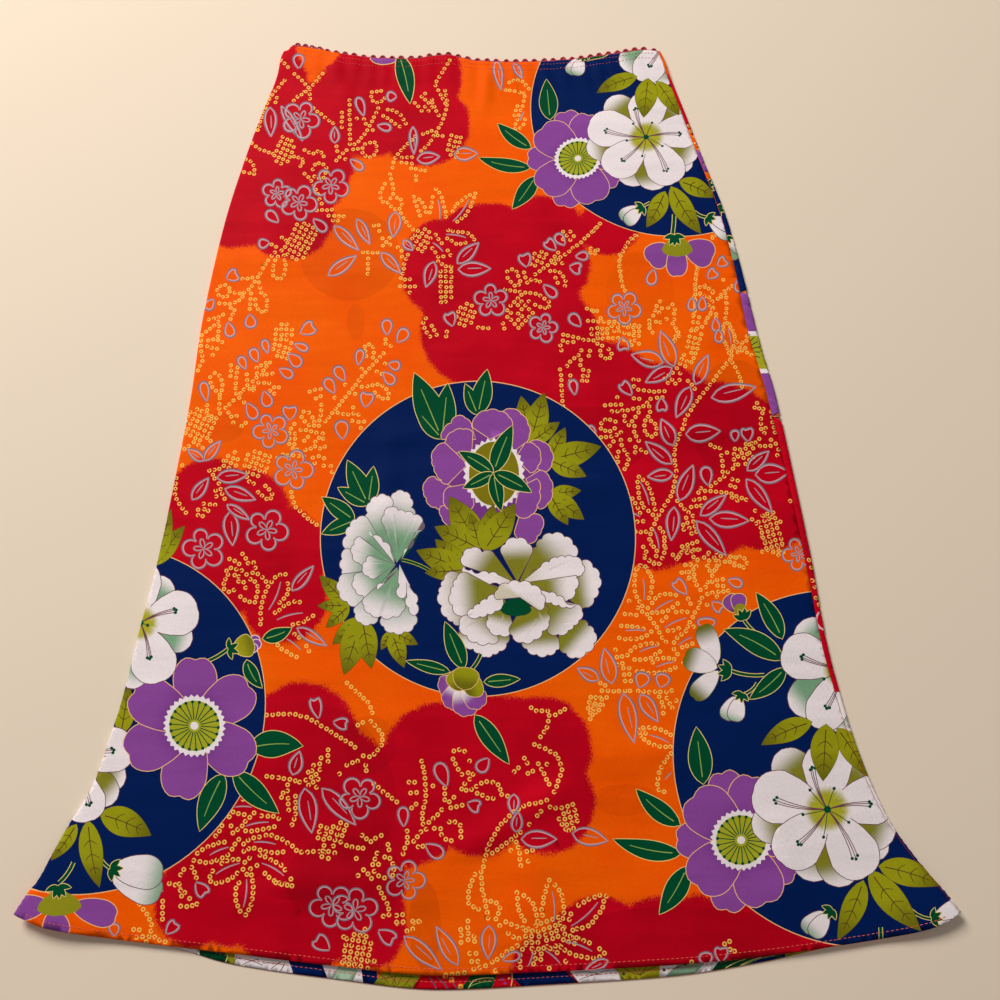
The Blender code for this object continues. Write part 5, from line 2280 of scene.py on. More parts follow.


# Darker places of the ground: motifs and dye that show through from below, and painted shade of soft hollows
# and folds in the cloth.
SHOW_THROUGH_AND_SHADE = table(
    "x y wide high share",
    (350, 255, 50, 46, 0.12),
    (356, 322, 9, 18, 0.10),
    (222, 428, 22, 15, 0.12),
    (300, 800, 96, 100, 0.10),
    (590, 440, 60, 34, 0.14),
    (735, 420, 44, 60, 0.14),
    (640, 292, 34, 40, 0.06),
    (425, 925, 16, 44, 0.16),
    (345, 880, 60, 44, 0.12),
    (680, 940, 120, 34, 0.12),
    (560, 560, 30, 30, 0.10),
    (370, 745, 26, 30, 0.10),
    (625, 800, 34, 16, 0.10),
)


class Ground:
    """The small motifs of the ground, which keep clear of the big ones."""

    def __init__(self, ink):
        self.ink = ink
        self.dots = Dots(ink)

    def draw(self):
        # Darker patches on the ground: show-through, and painted shade of hollows and folds.
        for row in SHOW_THROUGH_AND_SHADE:
            shape = disc((0, 0), 1.0, 40) * (row["wide"], row["high"])
            self.ink.draw(shape + (row["x"], row["y"]), WHITE, row["share"])
        for run in DOT_RUNS:
            self.dots.along(np.reshape(run, (-1, 2)))
        for row in DOT_PATCHES:
            self.dots.patch((row["x0"], row["y0"]), (row["x1"], row["y1"]), row["across"])
        for row in LINE_LEAVES:
            line_leaf(self.ink, (row["x0"], row["y0"]), (row["x1"], row["y1"]), row["width"])
        for row in LINE_STROKES:
            double_line(self.ink, bowed((row["x0"], row["y0"]), (row["x1"], row["y1"]), 0.06, 6), 1.7)
        for row in LINE_PETALS:
            root = (row["x0"], row["y0"])
            small_petal(self.ink, root, (row["x1"], row["y1"]), row["width"], row["notch"])
        for row in LINE_BLOSSOMS:
            line_blossom(self.ink, (row["x"], row["y"]), row["radius"], row["turn"])


def front_print():
    ink = Print(7)
    Ground(ink).draw()
    garden_roundel(ink, UPPER_GARDEN, upper_sprigs, (0.96, 0.98), (0.93, 0.98), (-7.0, 5.7))
    left_roundel(ink)
    garden_roundel(ink, GARDEN_CENTER, right_sprigs, (1.0, 1.0))
    centre_roundel(ink)
    ink.edged(fan_outline((384, 50), (384, 65.5), 25, 3, 0.12), PURPLE, CREAM, 0.7)
    dark_leaves(ink, (399, 56), ((410, 104),), 0.34, 0.03)
    return ink


# The back panel's strip over the right fold, by the heights in the picture where each colour starts
STRIP_BANDS = table(
    "y0 y1 paint",
    (150, 171, PURPLE),
    (171, 179, ORANGE),
    (179, 292, BLUE),
    (292, 333, PURPLE),
    (333, 371, HEART_YELLOW),
    (371, 416, PURPLE),
    (672, 940, BLUE),
)

STRIP_DOTS = table(
    "x y",
    (689, 126),
    (691, 131),
    (695, 137),
    (696, 144),
    (700, 150),
    (809, 560),
    (811.5, 567.6),
    (812.5, 580.5),
    (815, 587),
    (816, 598),
    (819.3, 604.6),
)


TURNED_OVER = (-1.0, 1.0)
STRIP_INSIDE = 16
STRIP_OUTSIDE = 60


def fold_px(py):
    """The pixel where the right fold is at a height in the picture."""
    y = on_cloth(PICTURE / 2, py)[1]
    return float(pixels_of(np.array([[float(RIGHT_EDGE(y)), y]]))[0, 0])


def strip_band(y0, y1):
    """A band of the strip between two heights in the picture, reaching past both its sides."""
    heights = np.linspace(y0, y1, max(int((y1 - y0) / 12), 2) + 1)
    left = [(fold_px(py) - STRIP_INSIDE, py) for py in heights]
    right = [(fold_px(py) + STRIP_OUTSIDE, py) for py in heights[::-1]]
    return np.array(left + right)


def back_print():
    """The same motifs as in front, turned over; what shows beside the right seam is placed as seen."""
    ink = Print(9)
    for center in ((160.0, 154.0), (-120.0, -250.0), (-150.0, 300.0)):
        garden_roundel(ink, center, right_sprigs, TURNED_OVER, TURNED_OVER, own=False)
    ink.put(on_cloth(*CENTRE_DISC), (150.0, -190.0), TURNED_OVER)
    centre_roundel(ink)
    ink.stay()
    ink.over_fold = True
    for band in STRIP_BANDS:
        ink.draw(strip_band(band["y0"], band["y1"]), band["paint"])
    upper_flower(ink)
    ink.draw(strip_band(598, 692), RED)
    right_sprigs(ink)
    garden_flowers(ink)
    for py in (292, 416):
        ink.draw(strip_band(py - 0.6, py + 0.6), PEACH)
    for py in (333.5, 371):
        ink.draw(strip_band(py - 2.2, py + 2.2), WHITE)
    heart = (fold_px(352) - 24, 352)
    for angle in range(-60, 61, 15):
        ink.stroke([spoke(heart, angle, 9), spoke(heart, angle, 21)], 1.0, GREEN)
    calyx(ink, (fold_px(184) - 8, 186), 10, 9)
    calyx(ink, (fold_px(212) - 9, 208), 40, 10)
    root = (fold_px(237) - 7, 237)
    closed_bud(ink, root, (fold_px(255) + 3, 256), 18)
    calyx(ink, root, 70, 8)
    dots = Dots(ink)
    for dot in STRIP_DOTS:
        dots.dot((dot["x"], dot["y"]))
    double_line(ink, bowed((806, 534), (813, 545), 0.3, 6))
    double_line(ink, bowed((819, 612), (824, 630), -0.3, 6))
    double_line(ink, bowed((696, 143), (702, 150), 0.2, 5))
    ink.over_fold = False
    return ink


# ---------------------------------------------------------------------------------------------
# The turned-up hem of the back panel, by pixels of the picture
# ---------------------------------------------------------------------------------------------

# The height on the cloth whose side edges bound the places along the hem
HEM_Y = -360
LEAF_OLIVE = (150, 146, 30)

HEM_BANDS = table(
    "x0 x1 lean paint",
    (150, 199, 0, WHITE),
    (198, 227, -4, GREEN),
    (226, 236, -3, LEAF_OLIVE),
    (234, 292, 0, WHITE),
    (291, 326, -3, BLUE),
    (325, 364, -3, WHITE),
    (334, 356, 4, (176, 206, 178)),
    (362, 377, -1, BLUE),
    (376, 420, 6, LEAF_OLIVE),
    (416, 468, 5, RED),
    (466, 496, 6, GREEN),
    (495, 514, 3, RED),
    (513, 573, -8, BLUE),
    (573, 620, -6, WHITE),
    (618, 662, -4, (170, 160, 30)),
    (660, 722, 0, WHITE),
    (675, 701, 8, (140, 176, 146)),
    (721, 760, 6, GREEN),
    (758, 788, 5, BLUE),
    (786, 812, 0, LEAF_OLIVE),
)

HEM_LINES = table(
    "x0 y0 x1 y1 width paint",
    (180, 951, 198, 957, 0.7, OUTLINE_BROWN),
    (198, 950, 197, 960, 0.9, CREAM),
    (227, 955, 222, 968, 0.9, CREAM),
    (236, 957, 229, 968, 0.8, LEAF_VEIN),
    (236, 959, 262, 966, 0.7, LEAF_VEIN),
    (241, 966, 258, 960, 0.7, LEAF_VEIN),
    (262, 964, 284, 966, 0.7, LEAF_VEIN),
    (270, 970, 280, 963, 0.7, LEAF_VEIN),
    (284, 964, 278, 973, 0.8, LEAF_VEIN),
    (378, 974, 388, 984, 0.7, LEAF_VEIN),
    (386, 972, 396, 985, 0.7, LEAF_VEIN),
    (396, 974, 391, 986, 0.7, LEAF_VEIN),
    (402, 974, 397, 986, 0.7, LEAF_VEIN),
    (412, 974, 404, 986, 0.7, LEAF_VEIN),
    (380, 980, 414, 978, 0.8, LEAF_VEIN),
    (429, 978, 437, 992, 1.2, LINE_GREY),
    (437, 978, 449, 992, 1.2, LINE_GREY),
    (447, 978, 457, 990, 1.2, LINE_GREY),
    (468, 990, 474, 981, 0.9, CREAM),
    (474, 981, 494, 979, 0.9, CREAM),
    (470, 987, 492, 982, 0.6, RIB_GREEN),
    (512, 974, 510, 990, 1.0, PEACH),
    (575, 973, 600, 975, 0.7, OUTLINE_BROWN),
    (579, 981, 600, 975, 0.7, OUTLINE_BROWN),
    (600, 973, 618, 971, 0.7, OUTLINE_BROWN),
    (641, 976, 622, 967, 0.7, LEAF_VEIN),
    (641, 976, 632, 966, 0.7, LEAF_VEIN),
    (641, 976, 641, 964, 0.7, LEAF_VEIN),
    (641, 976, 650, 965, 0.7, LEAF_VEIN),
    (641, 976, 657, 967, 0.7, LEAF_VEIN),
    (674, 970, 700, 962, 0.8, OUTLINE_BROWN),
    (722, 972, 746, 960, 0.8, CREAM),
    (736, 970, 762, 958, 0.8, CREAM),
    (744, 966, 782, 956, 0.8, RIB_GREEN),
    (788, 956, 808, 951, 0.8, LEAF_VEIN),
)

HEM_SPOTS = table(
    "x y radius paint",
    (502, 980, 1.6, PURPLE),
    (505, 984, 1.4, PURPLE),
    (509, 979, 1.2, DOT),
    (624, 974.5, 1.7, GREEN),
    (664.5, 970.5, 1.7, GREEN),
    (686, 965, 1.7, GREEN),
    (779, 956, 3.4, GREEN),
)

HEM_DOTS = table("x y", (445, 976.5), (451.5, 980.5), (460.5, 987.5), (447, 981))


def hem_print():
    ink = Print(11)
    for band in HEM_BANDS:
        x0, x1, lean = band["x0"], band["x1"], band["lean"]
        tall = 24 if x0 > 180 and x1 < 800 else 30
        middle = float(pixels_of(np.array([hem_middle((x0 + x1) / 2)]))[0, 1])
        low, high = middle + tall, middle - tall
        slant = lean * tall / 8
        shape = [(x0 + slant, high), (x1 + slant, high), (x1 - slant, low), (x0 - slant, low)]
        ink.draw(np.array(shape), band["paint"])
    for line in HEM_LINES:
        spine = bowed((line["x0"], line["y0"]), (line["x1"], line["y1"]), 0.06, 5)
        ink.stroke(spine, line["width"], line["paint"])
    for spot in HEM_SPOTS:
        ink.draw(disc((spot["x"], spot["y"]), spot["radius"], 10), spot["paint"])
    dots = Dots(ink)
    for dot in HEM_DOTS:
        dots.dot((dot["x"], dot["y"]))
    return ink


def hem_middle(px):
    """The place halfway up the shown part of the back's hem, for a pixel across the picture."""
    x = float(on_cloth(px, 970)[0])
    return (x, float(HEM_LINE["back"](share_across(x, HEM_Y))) + 5.0)


# ---------------------------------------------------------------------------------------------
# Cloth meshes
# ---------------------------------------------------------------------------------------------

GRID_STEP = 7.0
GATHER_STEP = 3.2
GATHERED_FROM = 338.0
SURE_AREA = 2500.0
FOLD_TURNS = (-2.0, -0.6, 0.0, 0.4, 0.8, 1.2, 1.57, 1.95, 2.35, 2.75, 3.14)
FOLD_END = 1.2
CLEAR_INSIDE = 6.5
CLEAR_OUTSIDE = 5.0
NO_RING = 9.0


def ground_grid(outline, step):
    """Places on an uneven grid inside a panel, so that the cloth can bend between its outlines."""
    low = outline.min(0)
    high = outline.max(0)
    chance = np.random.default_rng(3)
    xs = np.arange(low[0] + step / 2, high[0], step)
    ys = np.arange(low[1] + step / 2, high[1], step)
    grid = np.stack(np.meshgrid(xs, ys), axis=-1)
    grid[::2, :, 0] += step / 2
    grid = grid.reshape(-1, 2) + chance.uniform(-0.6, 0.6, (grid.size // 2, 2))
    return grid[points_inside(grid, outline)]


def panel_grid(outline, step):
    """Grid places of a panel, closer together where the elastic gathers the cloth."""
    loose = ground_grid(outline, step)
    gathered = ground_grid(outline, GATHER_STEP)
    return np.concatenate([loose[loose[:, 1] < GATHERED_FROM], gathered[gathered[:, 1] > GATHERED_FROM]])


def fold_grid(laid, step=4.5):
    """Places in rows along a panel's rolled fold, close enough together to bend round it."""
    end = 0 if laid.top else 1
    low = laid.hem(end) + FOLD_END
    high = laid.waist(end) - FOLD_END
    y = np.linspace(low, high, int((high - low) / step))
    edge = laid.fold_edge(y)
    radius = laid.stack(laid.from_waist(edge, y)) / 2
    rows = []
    for turn in FOLD_TURNS:
        past = turn * radius if turn > 0 else turn * 1.4
        rows.append(np.stack([edge - laid.side * radius + laid.side * past, y], axis=-1))
    return np.concatenate(rows)


def away_from_fold(laid, grid):
    """The grid places that keep clear of the rows along the rolled fold."""
    past = laid.side * (grid[:, 0] - laid.fold_edge(grid[:, 1]))
    return grid[(past < -CLEAR_INSIDE) | (past > CLEAR_OUTSIDE)]


def triangulated(points, loops):
    """A triangulation with the loops as edges: its places, its triangles, the loops that cover each
    triangle and the points that each place comes from."""
    vertices = [Vector((float(x), float(y))) for x, y in points]
    places, _, triangles, sources, _, covers = delaunay_2d_cdt(vertices, [], loops, 0, 1e-5, True)
    return np.array([(v.x, v.y) for v in places]), triangles, covers, sources


def printed_faces(ink, outline, grid):
    """Vertices, triangles and the number of the outline on top of each triangle."""
    loops = [outline, *ink.outlines]
    points = np.concatenate([*loops, grid, *ink.extra])
    faces = []
    first = 0
    for loop in loops:
        faces.append(list(range(first, first + len(loop))))
        first += len(loop)
    places, triangles, covers, _ = triangulated(points, faces)
    triangles = np.array(triangles)
    owners = np.array([owner for many in covers for owner in many])
    owned = np.repeat(np.arange(len(triangles)), [len(many) for many in covers])
    corners = places[triangles]
    sides = corners[:, 1:] - corners[:, :1]
    areas = np.abs(sides[:, 0, 0] * sides[:, 1, 1] - sides[:, 0, 1] * sides[:, 1, 0]) / 2
    middles = corners.mean(1)
    covered = np.bincount(owners, areas[owned], len(loops))
    for number, loop in enumerate(loops):
        area = abs(turned_area(loop))
        sure = area < SURE_AREA and covered[number] < 1.4 * area + 1
        if sure and covered[number] > 0.6 * area - 1:
            continue
        keep = owners != number
        near = np.all((middles > loop.min(0)) & (middles < loop.max(0)), axis=1).nonzero()[0]
        inside = near[points_inside(middles[near], loop)]
        owners = np.concatenate([owners[keep], np.full(len(inside), number)])
        owned = np.concatenate([owned[keep], inside])
    # Darker patches multiply the ground only: show-through, and painted shade of hollows and folds.
    darkening = np.concatenate([[0.0], ink.darkenings])[owners]
    tops = np.full(len(triangles), -1)
    solid = (darkening == 0) & (owners > 0)
    np.maximum.at(tops, owned[solid], owners[solid] - 1)
    shades = np.ones(len(triangles))
    np.multiply.at(shades, owned[darkening > 0], 1 - darkening[darkening > 0])
    cloth = np.zeros(len(triangles), bool)
    cloth[owned[owners == 0]] = True
    return places, triangles[cloth], tops[cloth], shades[cloth]


def pixels_of(places):
    """The picture's pixels for places on the cloth: the way back from on_cloth()."""
    x = places[:, 0] - CAMERA_AT[0]
    y = places[:, 1] - CAMERA_AT[1]
    depth = CAMERA_AT[2] - CLOTH_LEVEL
    forward = y * math.sin(TILT) + depth * math.cos(TILT)
    across = FOCAL_PX * x / forward
    down = FOCAL_PX * (depth * math.sin(TILT) - y * math.cos(TILT)) / forward
    return np.stack([across, down], axis=-1) + PICTURE / 2


def mesh_object(name, points, faces, material):
    mesh = bpy.data.meshes.new(name)
    mesh.vertices.add(len(points))
    mesh.vertices.foreach_set("co", (np.asarray(points) * METRES).astype(np.float32).ravel())
    faces = np.asarray(faces, np.int32)
    mesh.loops.add(faces.size)
    mesh.loops.foreach_set("vertex_index", faces.ravel())
    mesh.polygons.add(len(faces))
    mesh.polygons.foreach_set("loop_start", np.arange(len(faces), dtype=np.int32) * faces.shape[1])
    mesh.update(calc_edges=True)
    mesh.validate()
    mesh.shade_smooth()
    mesh.materials.append(material)
    thing = bpy.data.objects.new(name, mesh)
    bpy.context.scene.collection.objects.link(thing)
    return thing


def corner_paints(ink, places, triangles, tops, shades):
    """Linear colour at each corner of each triangle, with how much of it is ground in its alpha,
    and the place in a dot's ring."""
    colors = np.ones((len(triangles), 3, 4))
    colors[tops < 0] = (1, 1, 1, 0)
    rings = np.full((len(triangles), 3, 3), NO_RING)
    order = np.argsort(tops, kind="stable")
    bounds = np.searchsorted(tops[order], np.arange(len(ink.paints) + 1))
    for number, paint in enumerate(ink.paints):
        mine = order[bounds[number] : bounds[number + 1]]
        if len(mine) == 0:
            continue
        if isinstance(paint, Ring):
            at = (places[triangles[mine]] - np.array(paint.center)) / DOT_OUT
            turn = np.array([math.cos(paint.turn), math.sin(paint.turn)])
            rings[mine, :, 0] = at @ turn
            rings[mine, :, 1] = at @ np.array([-turn[1], turn[0]])
            rings[mine, :, 2] = paint.opening
            colors[mine] = (1, 1, 1, 0)
            continue
        shades[mine] = 1.0
        if callable(paint):
            seen, wanted, stretch = ink.moves[number]
            at = (places[triangles[mine]].reshape(-1, 2) - wanted) / stretch + seen
            colors[mine, :, :3] = paint(pixels_of(at)).reshape(-1, 3, 3)
        else:
            colors[mine, :, :3] = linear(paint)
    # The ground is darkened here by show-through and by painted shade.
    colors[:, :, :3] *= shades[:, None, None]
    return colors, rings


def edge_loop(triangles):
    """The vertex numbers round the edge of a mesh with one hole-free outline, in its own sense."""
    ends = np.concatenate([triangles[:, [0, 1]], triangles[:, [1, 2]], triangles[:, [2, 0]]])
    keys = {(int(a), int(b)) for a, b in ends}
    onward = {a: b for a, b in keys if (b, a) not in keys}
    start = next(iter(onward))
    loop = [start]
    while onward[loop[-1]] != start:
        loop.append(onward[loop[-1]])
    return np.array(loop)


UV_TILE = 860.0
UV_LOW = (-372.0, -418.0)
UV_CORNER = (0.86, 0.02)
UV_CORNER_SIZE = 0.11


def bake_places(places, corner):
    """Places on the bake tile: the printed side lies flat over most of it, the rest in a corner."""
    share = (places - UV_LOW) / UV_TILE
    if corner:
        share = np.array(UV_CORNER) + share * UV_CORNER_SIZE
    return share


def wrong_side(rim, grid):
    """The triangulation inside a rim of places, and the number in it of each place of the rim."""
    places, triangles, covers, sources = triangulated(np.concatenate([rim, grid]), [list(range(len(rim)))])
    number_of = {}
    for number, many in enumerate(sources):
        for source in many:
            if source < len(rim):
                number_of[source] = number
    inside = np.array([face for face, owners in zip(triangles, covers) if owners])
    return places, inside, [number_of[number] for number in range(len(rim))]


def closing_faces(one, other):
    """Triangles between two closed rows of vertices."""
    faces = []
    for a, b, c, d in zip(one, np.roll(one, -1), np.roll(other, -1), other):
        faces.append((b, a, d))
        faces.append((b, d, c))
    return np.array(faces)


def set_values(attribute, key, values):
    attribute.data.foreach_set(key, values.astype(np.float32).ravel())


def printed_shell(name, ink, outline, grid, inner_grid, place, upward, cloud_of, materials, thick=CLOTH):
    """A closed thin shell: the printed side, the wrong side, and the rim between them."""
    places, triangles, tops, shades = printed_faces(ink, outline, grid)
    used, triangles = np.unique(triangles, return_inverse=True)
    places = places[used]
    triangles = triangles.reshape(-1, 3)
    loop = edge_loop(triangles)
    inner_places, inner_triangles, inner_loop = wrong_side(places[loop], inner_grid)
    first = len(places)
    rim = closing_faces(loop, first + np.array(inner_loop))
    way = 1 if upward else -1
    faces = np.concatenate([triangles[:, ::way], (inner_triangles + first)[:, ::-way], rim[:, ::way]])
    outer = place(places[:, 0], places[:, 1], 0.0)
    inner = place(inner_places[:, 0], inner_places[:, 1], thick)
    thing = mesh_object(name, np.concatenate([outer, inner]), faces, materials[0])
    mesh = thing.data
    mesh.materials.append(materials[1])
    printed = len(triangles)
    slots = np.zeros(len(faces), np.int32)
    slots[printed : printed + len(inner_triangles)] = 1
    mesh.polygons.foreach_set("material_index", slots)
    colors = np.ones((len(faces), 3, 4))
    colors[printed:] = (1, 1, 1, 0)
    rings = np.full((len(faces), 3, 3), NO_RING)
    painted, ringed = corner_paints(ink, places, triangles, tops, shades)
    colors[:printed] = painted[:, ::way]
    rings[:printed] = ringed[:, ::way]
    set_values(mesh.attributes.new("ring", "FLOAT_VECTOR", "CORNER"), "vector", rings)
    set_values(mesh.color_attributes.new("ink", "FLOAT_COLOR", "CORNER"), "color", colors)
    all_places = np.concatenate([places, inner_places])
    set_values(mesh.attributes.new("cloud", "FLOAT", "POINT"), "value", cloud_of(*all_places.T))
    uvs = bake_places(all_places[faces], True)
    uvs[:printed] = bake_places(all_places[faces[:printed]], False)
    set_values(mesh.uv_layers.new(name="OFBake"), "uv", uvs)
    return thing


def printed_panel(name, layer, ink, cloud_of, materials):
    laid = Laid(layer)
    outline = laid.outline()
    folds = fold_grid(laid)
    folds = folds[points_inside(folds, outline)]
    grid = np.concatenate([away_from_fold(laid, panel_grid(outline, GRID_STEP)), folds])
    inner_grid = np.concatenate([away_from_fold(laid, panel_grid(outline, 1.2 * GRID_STEP)), folds])
    return printed_shell(name, ink, outline, grid, inner_grid, laid.place, laid.top, cloud_of, materials)


HEM_TURNED = 15.0
HEM_TURNED_REACH = 296
HEM_TURNED_THICK = 0.3
HEM_TURNED_LEVEL = 1.0


def hem_turning(materials):
    """The printed allowance that is folded up inside the back's hem."""
    x = np.linspace(-HEM_TURNED_REACH, HEM_TURNED_REACH, 150)
    low = HEM_LINE["back"](share_across(x, HEM_Y)) + 0.4
    lower = np.stack([x, low], axis=-1)
    upper = np.stack([x, low + HEM_TURNED], axis=-1)[::-1]
    outline = np.concatenate([lower, upper])
    grid = ground_grid(outline, 5.0)

    def place(x, y, inset):
        return np.stack([x, y, corner_lift(x, y) + HEM_TURNED_LEVEL - inset], axis=-1)

    form = (outline, grid, grid, place, True, cloud_edge)
    return printed_shell("hem_turning", hem_print(), *form, materials, HEM_TURNED_THICK)


# ---------------------------------------------------------------------------------------------
# Elastic and stitches
# ---------------------------------------------------------------------------------------------


class Pile:
    """Points and faces of many small forms that make one piece."""

    def __init__(self):
        self.points = []
        self.faces = []
        self.count = 0

    def add(self, points, faces):
        self.points.append(points)
        self.faces.append(np.asarray(faces) + self.count)
        self.count += len(points)

    def tube(self, line, radius, sides=6, closed=False):
        """A round tube along a line of points, with radius one number or one for each point."""
        line = np.asarray(line, float)
        if closed:
            run = np.roll(line, -1, axis=0) - np.roll(line, 1, axis=0)
        else:
            run = np.gradient(line, axis=0)
        run = run / np.maximum(np.linalg.norm(run, axis=1), 1e-9)[:, None]
        aside = np.cross(run, (0.0, 0.0, 1.0))
        aside = aside / np.maximum(np.linalg.norm(aside, axis=1), 1e-6)[:, None]
        over = np.cross(aside, run)
        radius = np.broadcast_to(np.asarray(radius, float), (len(line),))[:, None]
        turns = np.linspace(0, 2 * math.pi, sides, endpoint=False)
        rings = [line + radius * (math.cos(turn) * aside + math.sin(turn) * over) for turn in turns]
        points = np.stack(rings, axis=1).reshape(-1, 3)
        faces = []
        for step in range(len(line) if closed else len(line) - 1):
            following = (step + 1) % len(line)
            for side in range(sides):
                a = step * sides + side
                b = step * sides + (side + 1) % sides
                c = following * sides + (side + 1) % sides
                d = following * sides + side
                faces.append((a, c, b))
                faces.append((a, d, c))
        if not closed:
            last = (len(line) - 1) * sides
            for side in range(1, sides - 1):
                faces.append((0, side, side + 1))
                faces.append((last, last + side + 1, last + side))
        self.add(points, faces)

    def make(self, name, material):
        return mesh_object(name, np.concatenate(self.points), np.concatenate(self.faces), material)


ELASTIC_INSET = 1.3
ELASTIC_BAND = 0.7
PICOT_HALF = 2.3
PICOT_HEIGHT = 4.7
PICOT_CORD = 0.85


def waist_place(side, share, beyond, inset):
    """A place at the waist, a share of the way across a side ("front" or "back"), beyond its edge."""
    laid = Laid(side)
    level = WAIST_LINE[side](share)
    y = level + beyond
    left = LEFT_EDGE(level) + WAIST_STACK / 2
    right = RIGHT_EDGE(level) - WAIST_STACK / 2
    x = mix(left, right, share)
    if side == "front":
        z = laid.layer_height(x, np.minimum(y, level)) - inset
    else:
        z = corner_lift(x, y) + inset
    return np.stack([x, y, z], axis=-1)


def waist_ring(beyond, inset, steps=100):
    """A loop of places round the waist."""
    share = np.linspace(0, 1, steps)
    over = waist_place("front", share, beyond + 0 * share, inset)
    under = waist_place("back", share[::-1], beyond + 0 * share, inset)
    loops = [over]
    for side, start, end in ((1, over[-1], under[0]), (-1, under[-1], over[0])):
        middle = (start + end) / 2
        reach = WAIST_STACK / 2 - inset
        turns = np.linspace(0, math.pi, 7)[1:-1]
        bend = np.stack([np.sin(turns) * side * reach, 0 * turns, np.cos(turns) * side * reach], axis=-1)
        bend[:, 1] = np.linspace(start[1], end[1], 7)[1:-1] - middle[1]
        loops.append(middle + bend)
        if side == 1:
            loops.append(under)
    return np.concatenate(loops)


def make_elastic(material):
    """A narrow band inside the waist with small loops of cord along its upper edge."""
    pile = Pile()
    rings = []
    for inset in (ELASTIC_INSET, ELASTIC_INSET + ELASTIC_BAND):
        rings.append(waist_ring(-ELASTIC_DEPTH, inset))
        rings.append(waist_ring(0.6, inset))
    points = np.concatenate(rings)
    count = len(rings[0])
    low_out, high_out, low_in, high_in = (np.arange(count) + count * number for number in range(4))
    faces = []
    for a_row, b_row in ((low_out, high_out), (high_out, high_in), (high_in, low_in), (low_in, low_out)):
        for step in range(count):
            following = (step + 1) % count
            faces.append((a_row[step], a_row[following], b_row[following]))
            faces.append((a_row[step], b_row[following], b_row[step]))
    pile.add(points, faces)
    pile.tube(waist_ring(0.9, ELASTIC_INSET), PICOT_CORD, 6, True)
    chance = random.Random(5)
    turns = np.linspace(-0.25, math.pi + 0.25, 10)
    for side in ("front", "back"):
        for number in range(PICOTS_PER_SIDE):
            share = (number + 0.5) / PICOTS_PER_SIDE
            middle = waist_place(side, np.array([share]), np.array([0.0]), ELASTIC_INSET + 0.1)[0]
            lean = chance.uniform(-0.5, 0.5)
            size = chance.uniform(0.92, 1.06)
            x = middle[0] + PICOT_HALF * np.cos(turns) * size + lean * np.sin(turns)
            y = middle[1] + 1.0 + (PICOT_HEIGHT - PICOT_CORD - 1.0) * size * np.sin(turns)
            z = middle[2] + chance.uniform(-0.3, 0.3) * np.sin(turns)
            pile.tube(np.stack([x, y, z], axis=-1), PICOT_CORD, 6)
    return pile.make("picot_edging", material)


STITCH = 2.5
STITCH_GAP = 1.1
STITCH_RADIUS = 0.26


def stitches(pile, line, height_at, seed, length=STITCH):
    """A row of short stitches along a line of (x, y) places."""
    line = np.asarray(line, float)
    chance = random.Random(seed)
    gone = np.concatenate([[0.0], np.cumsum(np.hypot(*np.diff(line, axis=0).T))])
    at = 1.0
    while at + length < gone[-1]:
        along = at + np.array([0.0, 0.18, 0.5, 0.82, 1.0]) * length
        aside = chance.uniform(-0.14, 0.14)
        x = np.interp(along, gone, line[:, 0]) + aside
        y = np.interp(along, gone, line[:, 1]) + aside
        z = height_at(x, y) + np.array([-0.15, 0.05, 0.12, 0.05, -0.15])
        thick = STITCH_RADIUS * np.array([0.35, 1.0, 1.0, 1.0, 0.35])
        pile.tube(np.stack([x, y, z], axis=-1), thick, 4)
        at += length + STITCH_GAP


def edge_row(side, beyond, first, last, at_hem):
    """Places along a hem or waist edge, moved along the skirt by a distance."""
    lines = HEM_LINE if at_hem else WAIST_LINE
    share = np.linspace(first, last, 160)
    level = lines[side](share)
    x = mix(LEFT_EDGE(level), RIGHT_EDGE(level), share)
    return np.stack([x, level + beyond], axis=-1)


def front_stitching(material):
    laid = Laid("front")
    pile = Pile()
    stitches(pile, edge_row("front", 4.4, 0.012, 0.985, True), laid.layer_height, 3)
    stitches(pile, edge_row("front", -3.0, 0.02, 0.98, False), laid.layer_height, 4, 2.0)
    stitches(pile, edge_row("front", -8.4, 0.02, 0.98, False), laid.layer_height, 5, 2.0)
    return pile.make("front_stitching", material)


def hem_stitching(material):
    pile = Pile()

    def level(x, y):
        return corner_lift(x, y) + HEM_TURNED_LEVEL

    stitches(pile, edge_row("back", 5.4, 0.1, 0.9, True), level, 6)
    return pile.make("hem_stitching", material)


# ---------------------------------------------------------------------------------------------
# Materials
# ---------------------------------------------------------------------------------------------


class Nodes:
    """A short way to write a material's nodes."""

    def __init__(self, name):
        self.material = bpy.data.materials.new(name)
        self.material.use_nodes = True
        self.tree = self.material.node_tree
        self.shader = self.tree.nodes["Principled BSDF"]

    def feed(self, node, inputs):
        for key, value in inputs.items():
            if isinstance(value, bpy.types.NodeSocket):
                self.tree.links.new(value, node.inputs[key])
            else:
                node.inputs[key].default_value = value

    def new(self, kind, settings=None, inputs=None):
        node = self.tree.nodes.new("ShaderNode" + kind)
        for key, value in (settings or {}).items():
            setattr(node, key, value)
        self.feed(node, inputs or {})
        return node

    def math(self, operation, a, b=0.0, *more):
        return self.new("Math", {"operation": operation}, dict(enumerate((a, b, *more)))).outputs[0]

    def mix_color(self, share, a, b, blend="MIX"):
        node = self.new("Mix", {"data_type": "RGBA", "blend_type": blend}, {0: share, 6: a, 7: b})
        return node.outputs[2]

    def ramp(self, value, low, high):
        node = self.new("MapRange", {"interpolation_type": "SMOOTHSTEP"}, {0: value, 1: low, 2: high})
        return node.outputs[0]

    def noise(self, vector, scale, detail=2.0, roughness=0.5):
        inputs = {"Vector": vector, "Scale": scale, "Detail": detail, "Roughness": roughness}
        return self.new("TexNoise", None, inputs).outputs["Fac"]


def rgba(color):
    return (*[float(v) for v in linear(color)], 1.0)


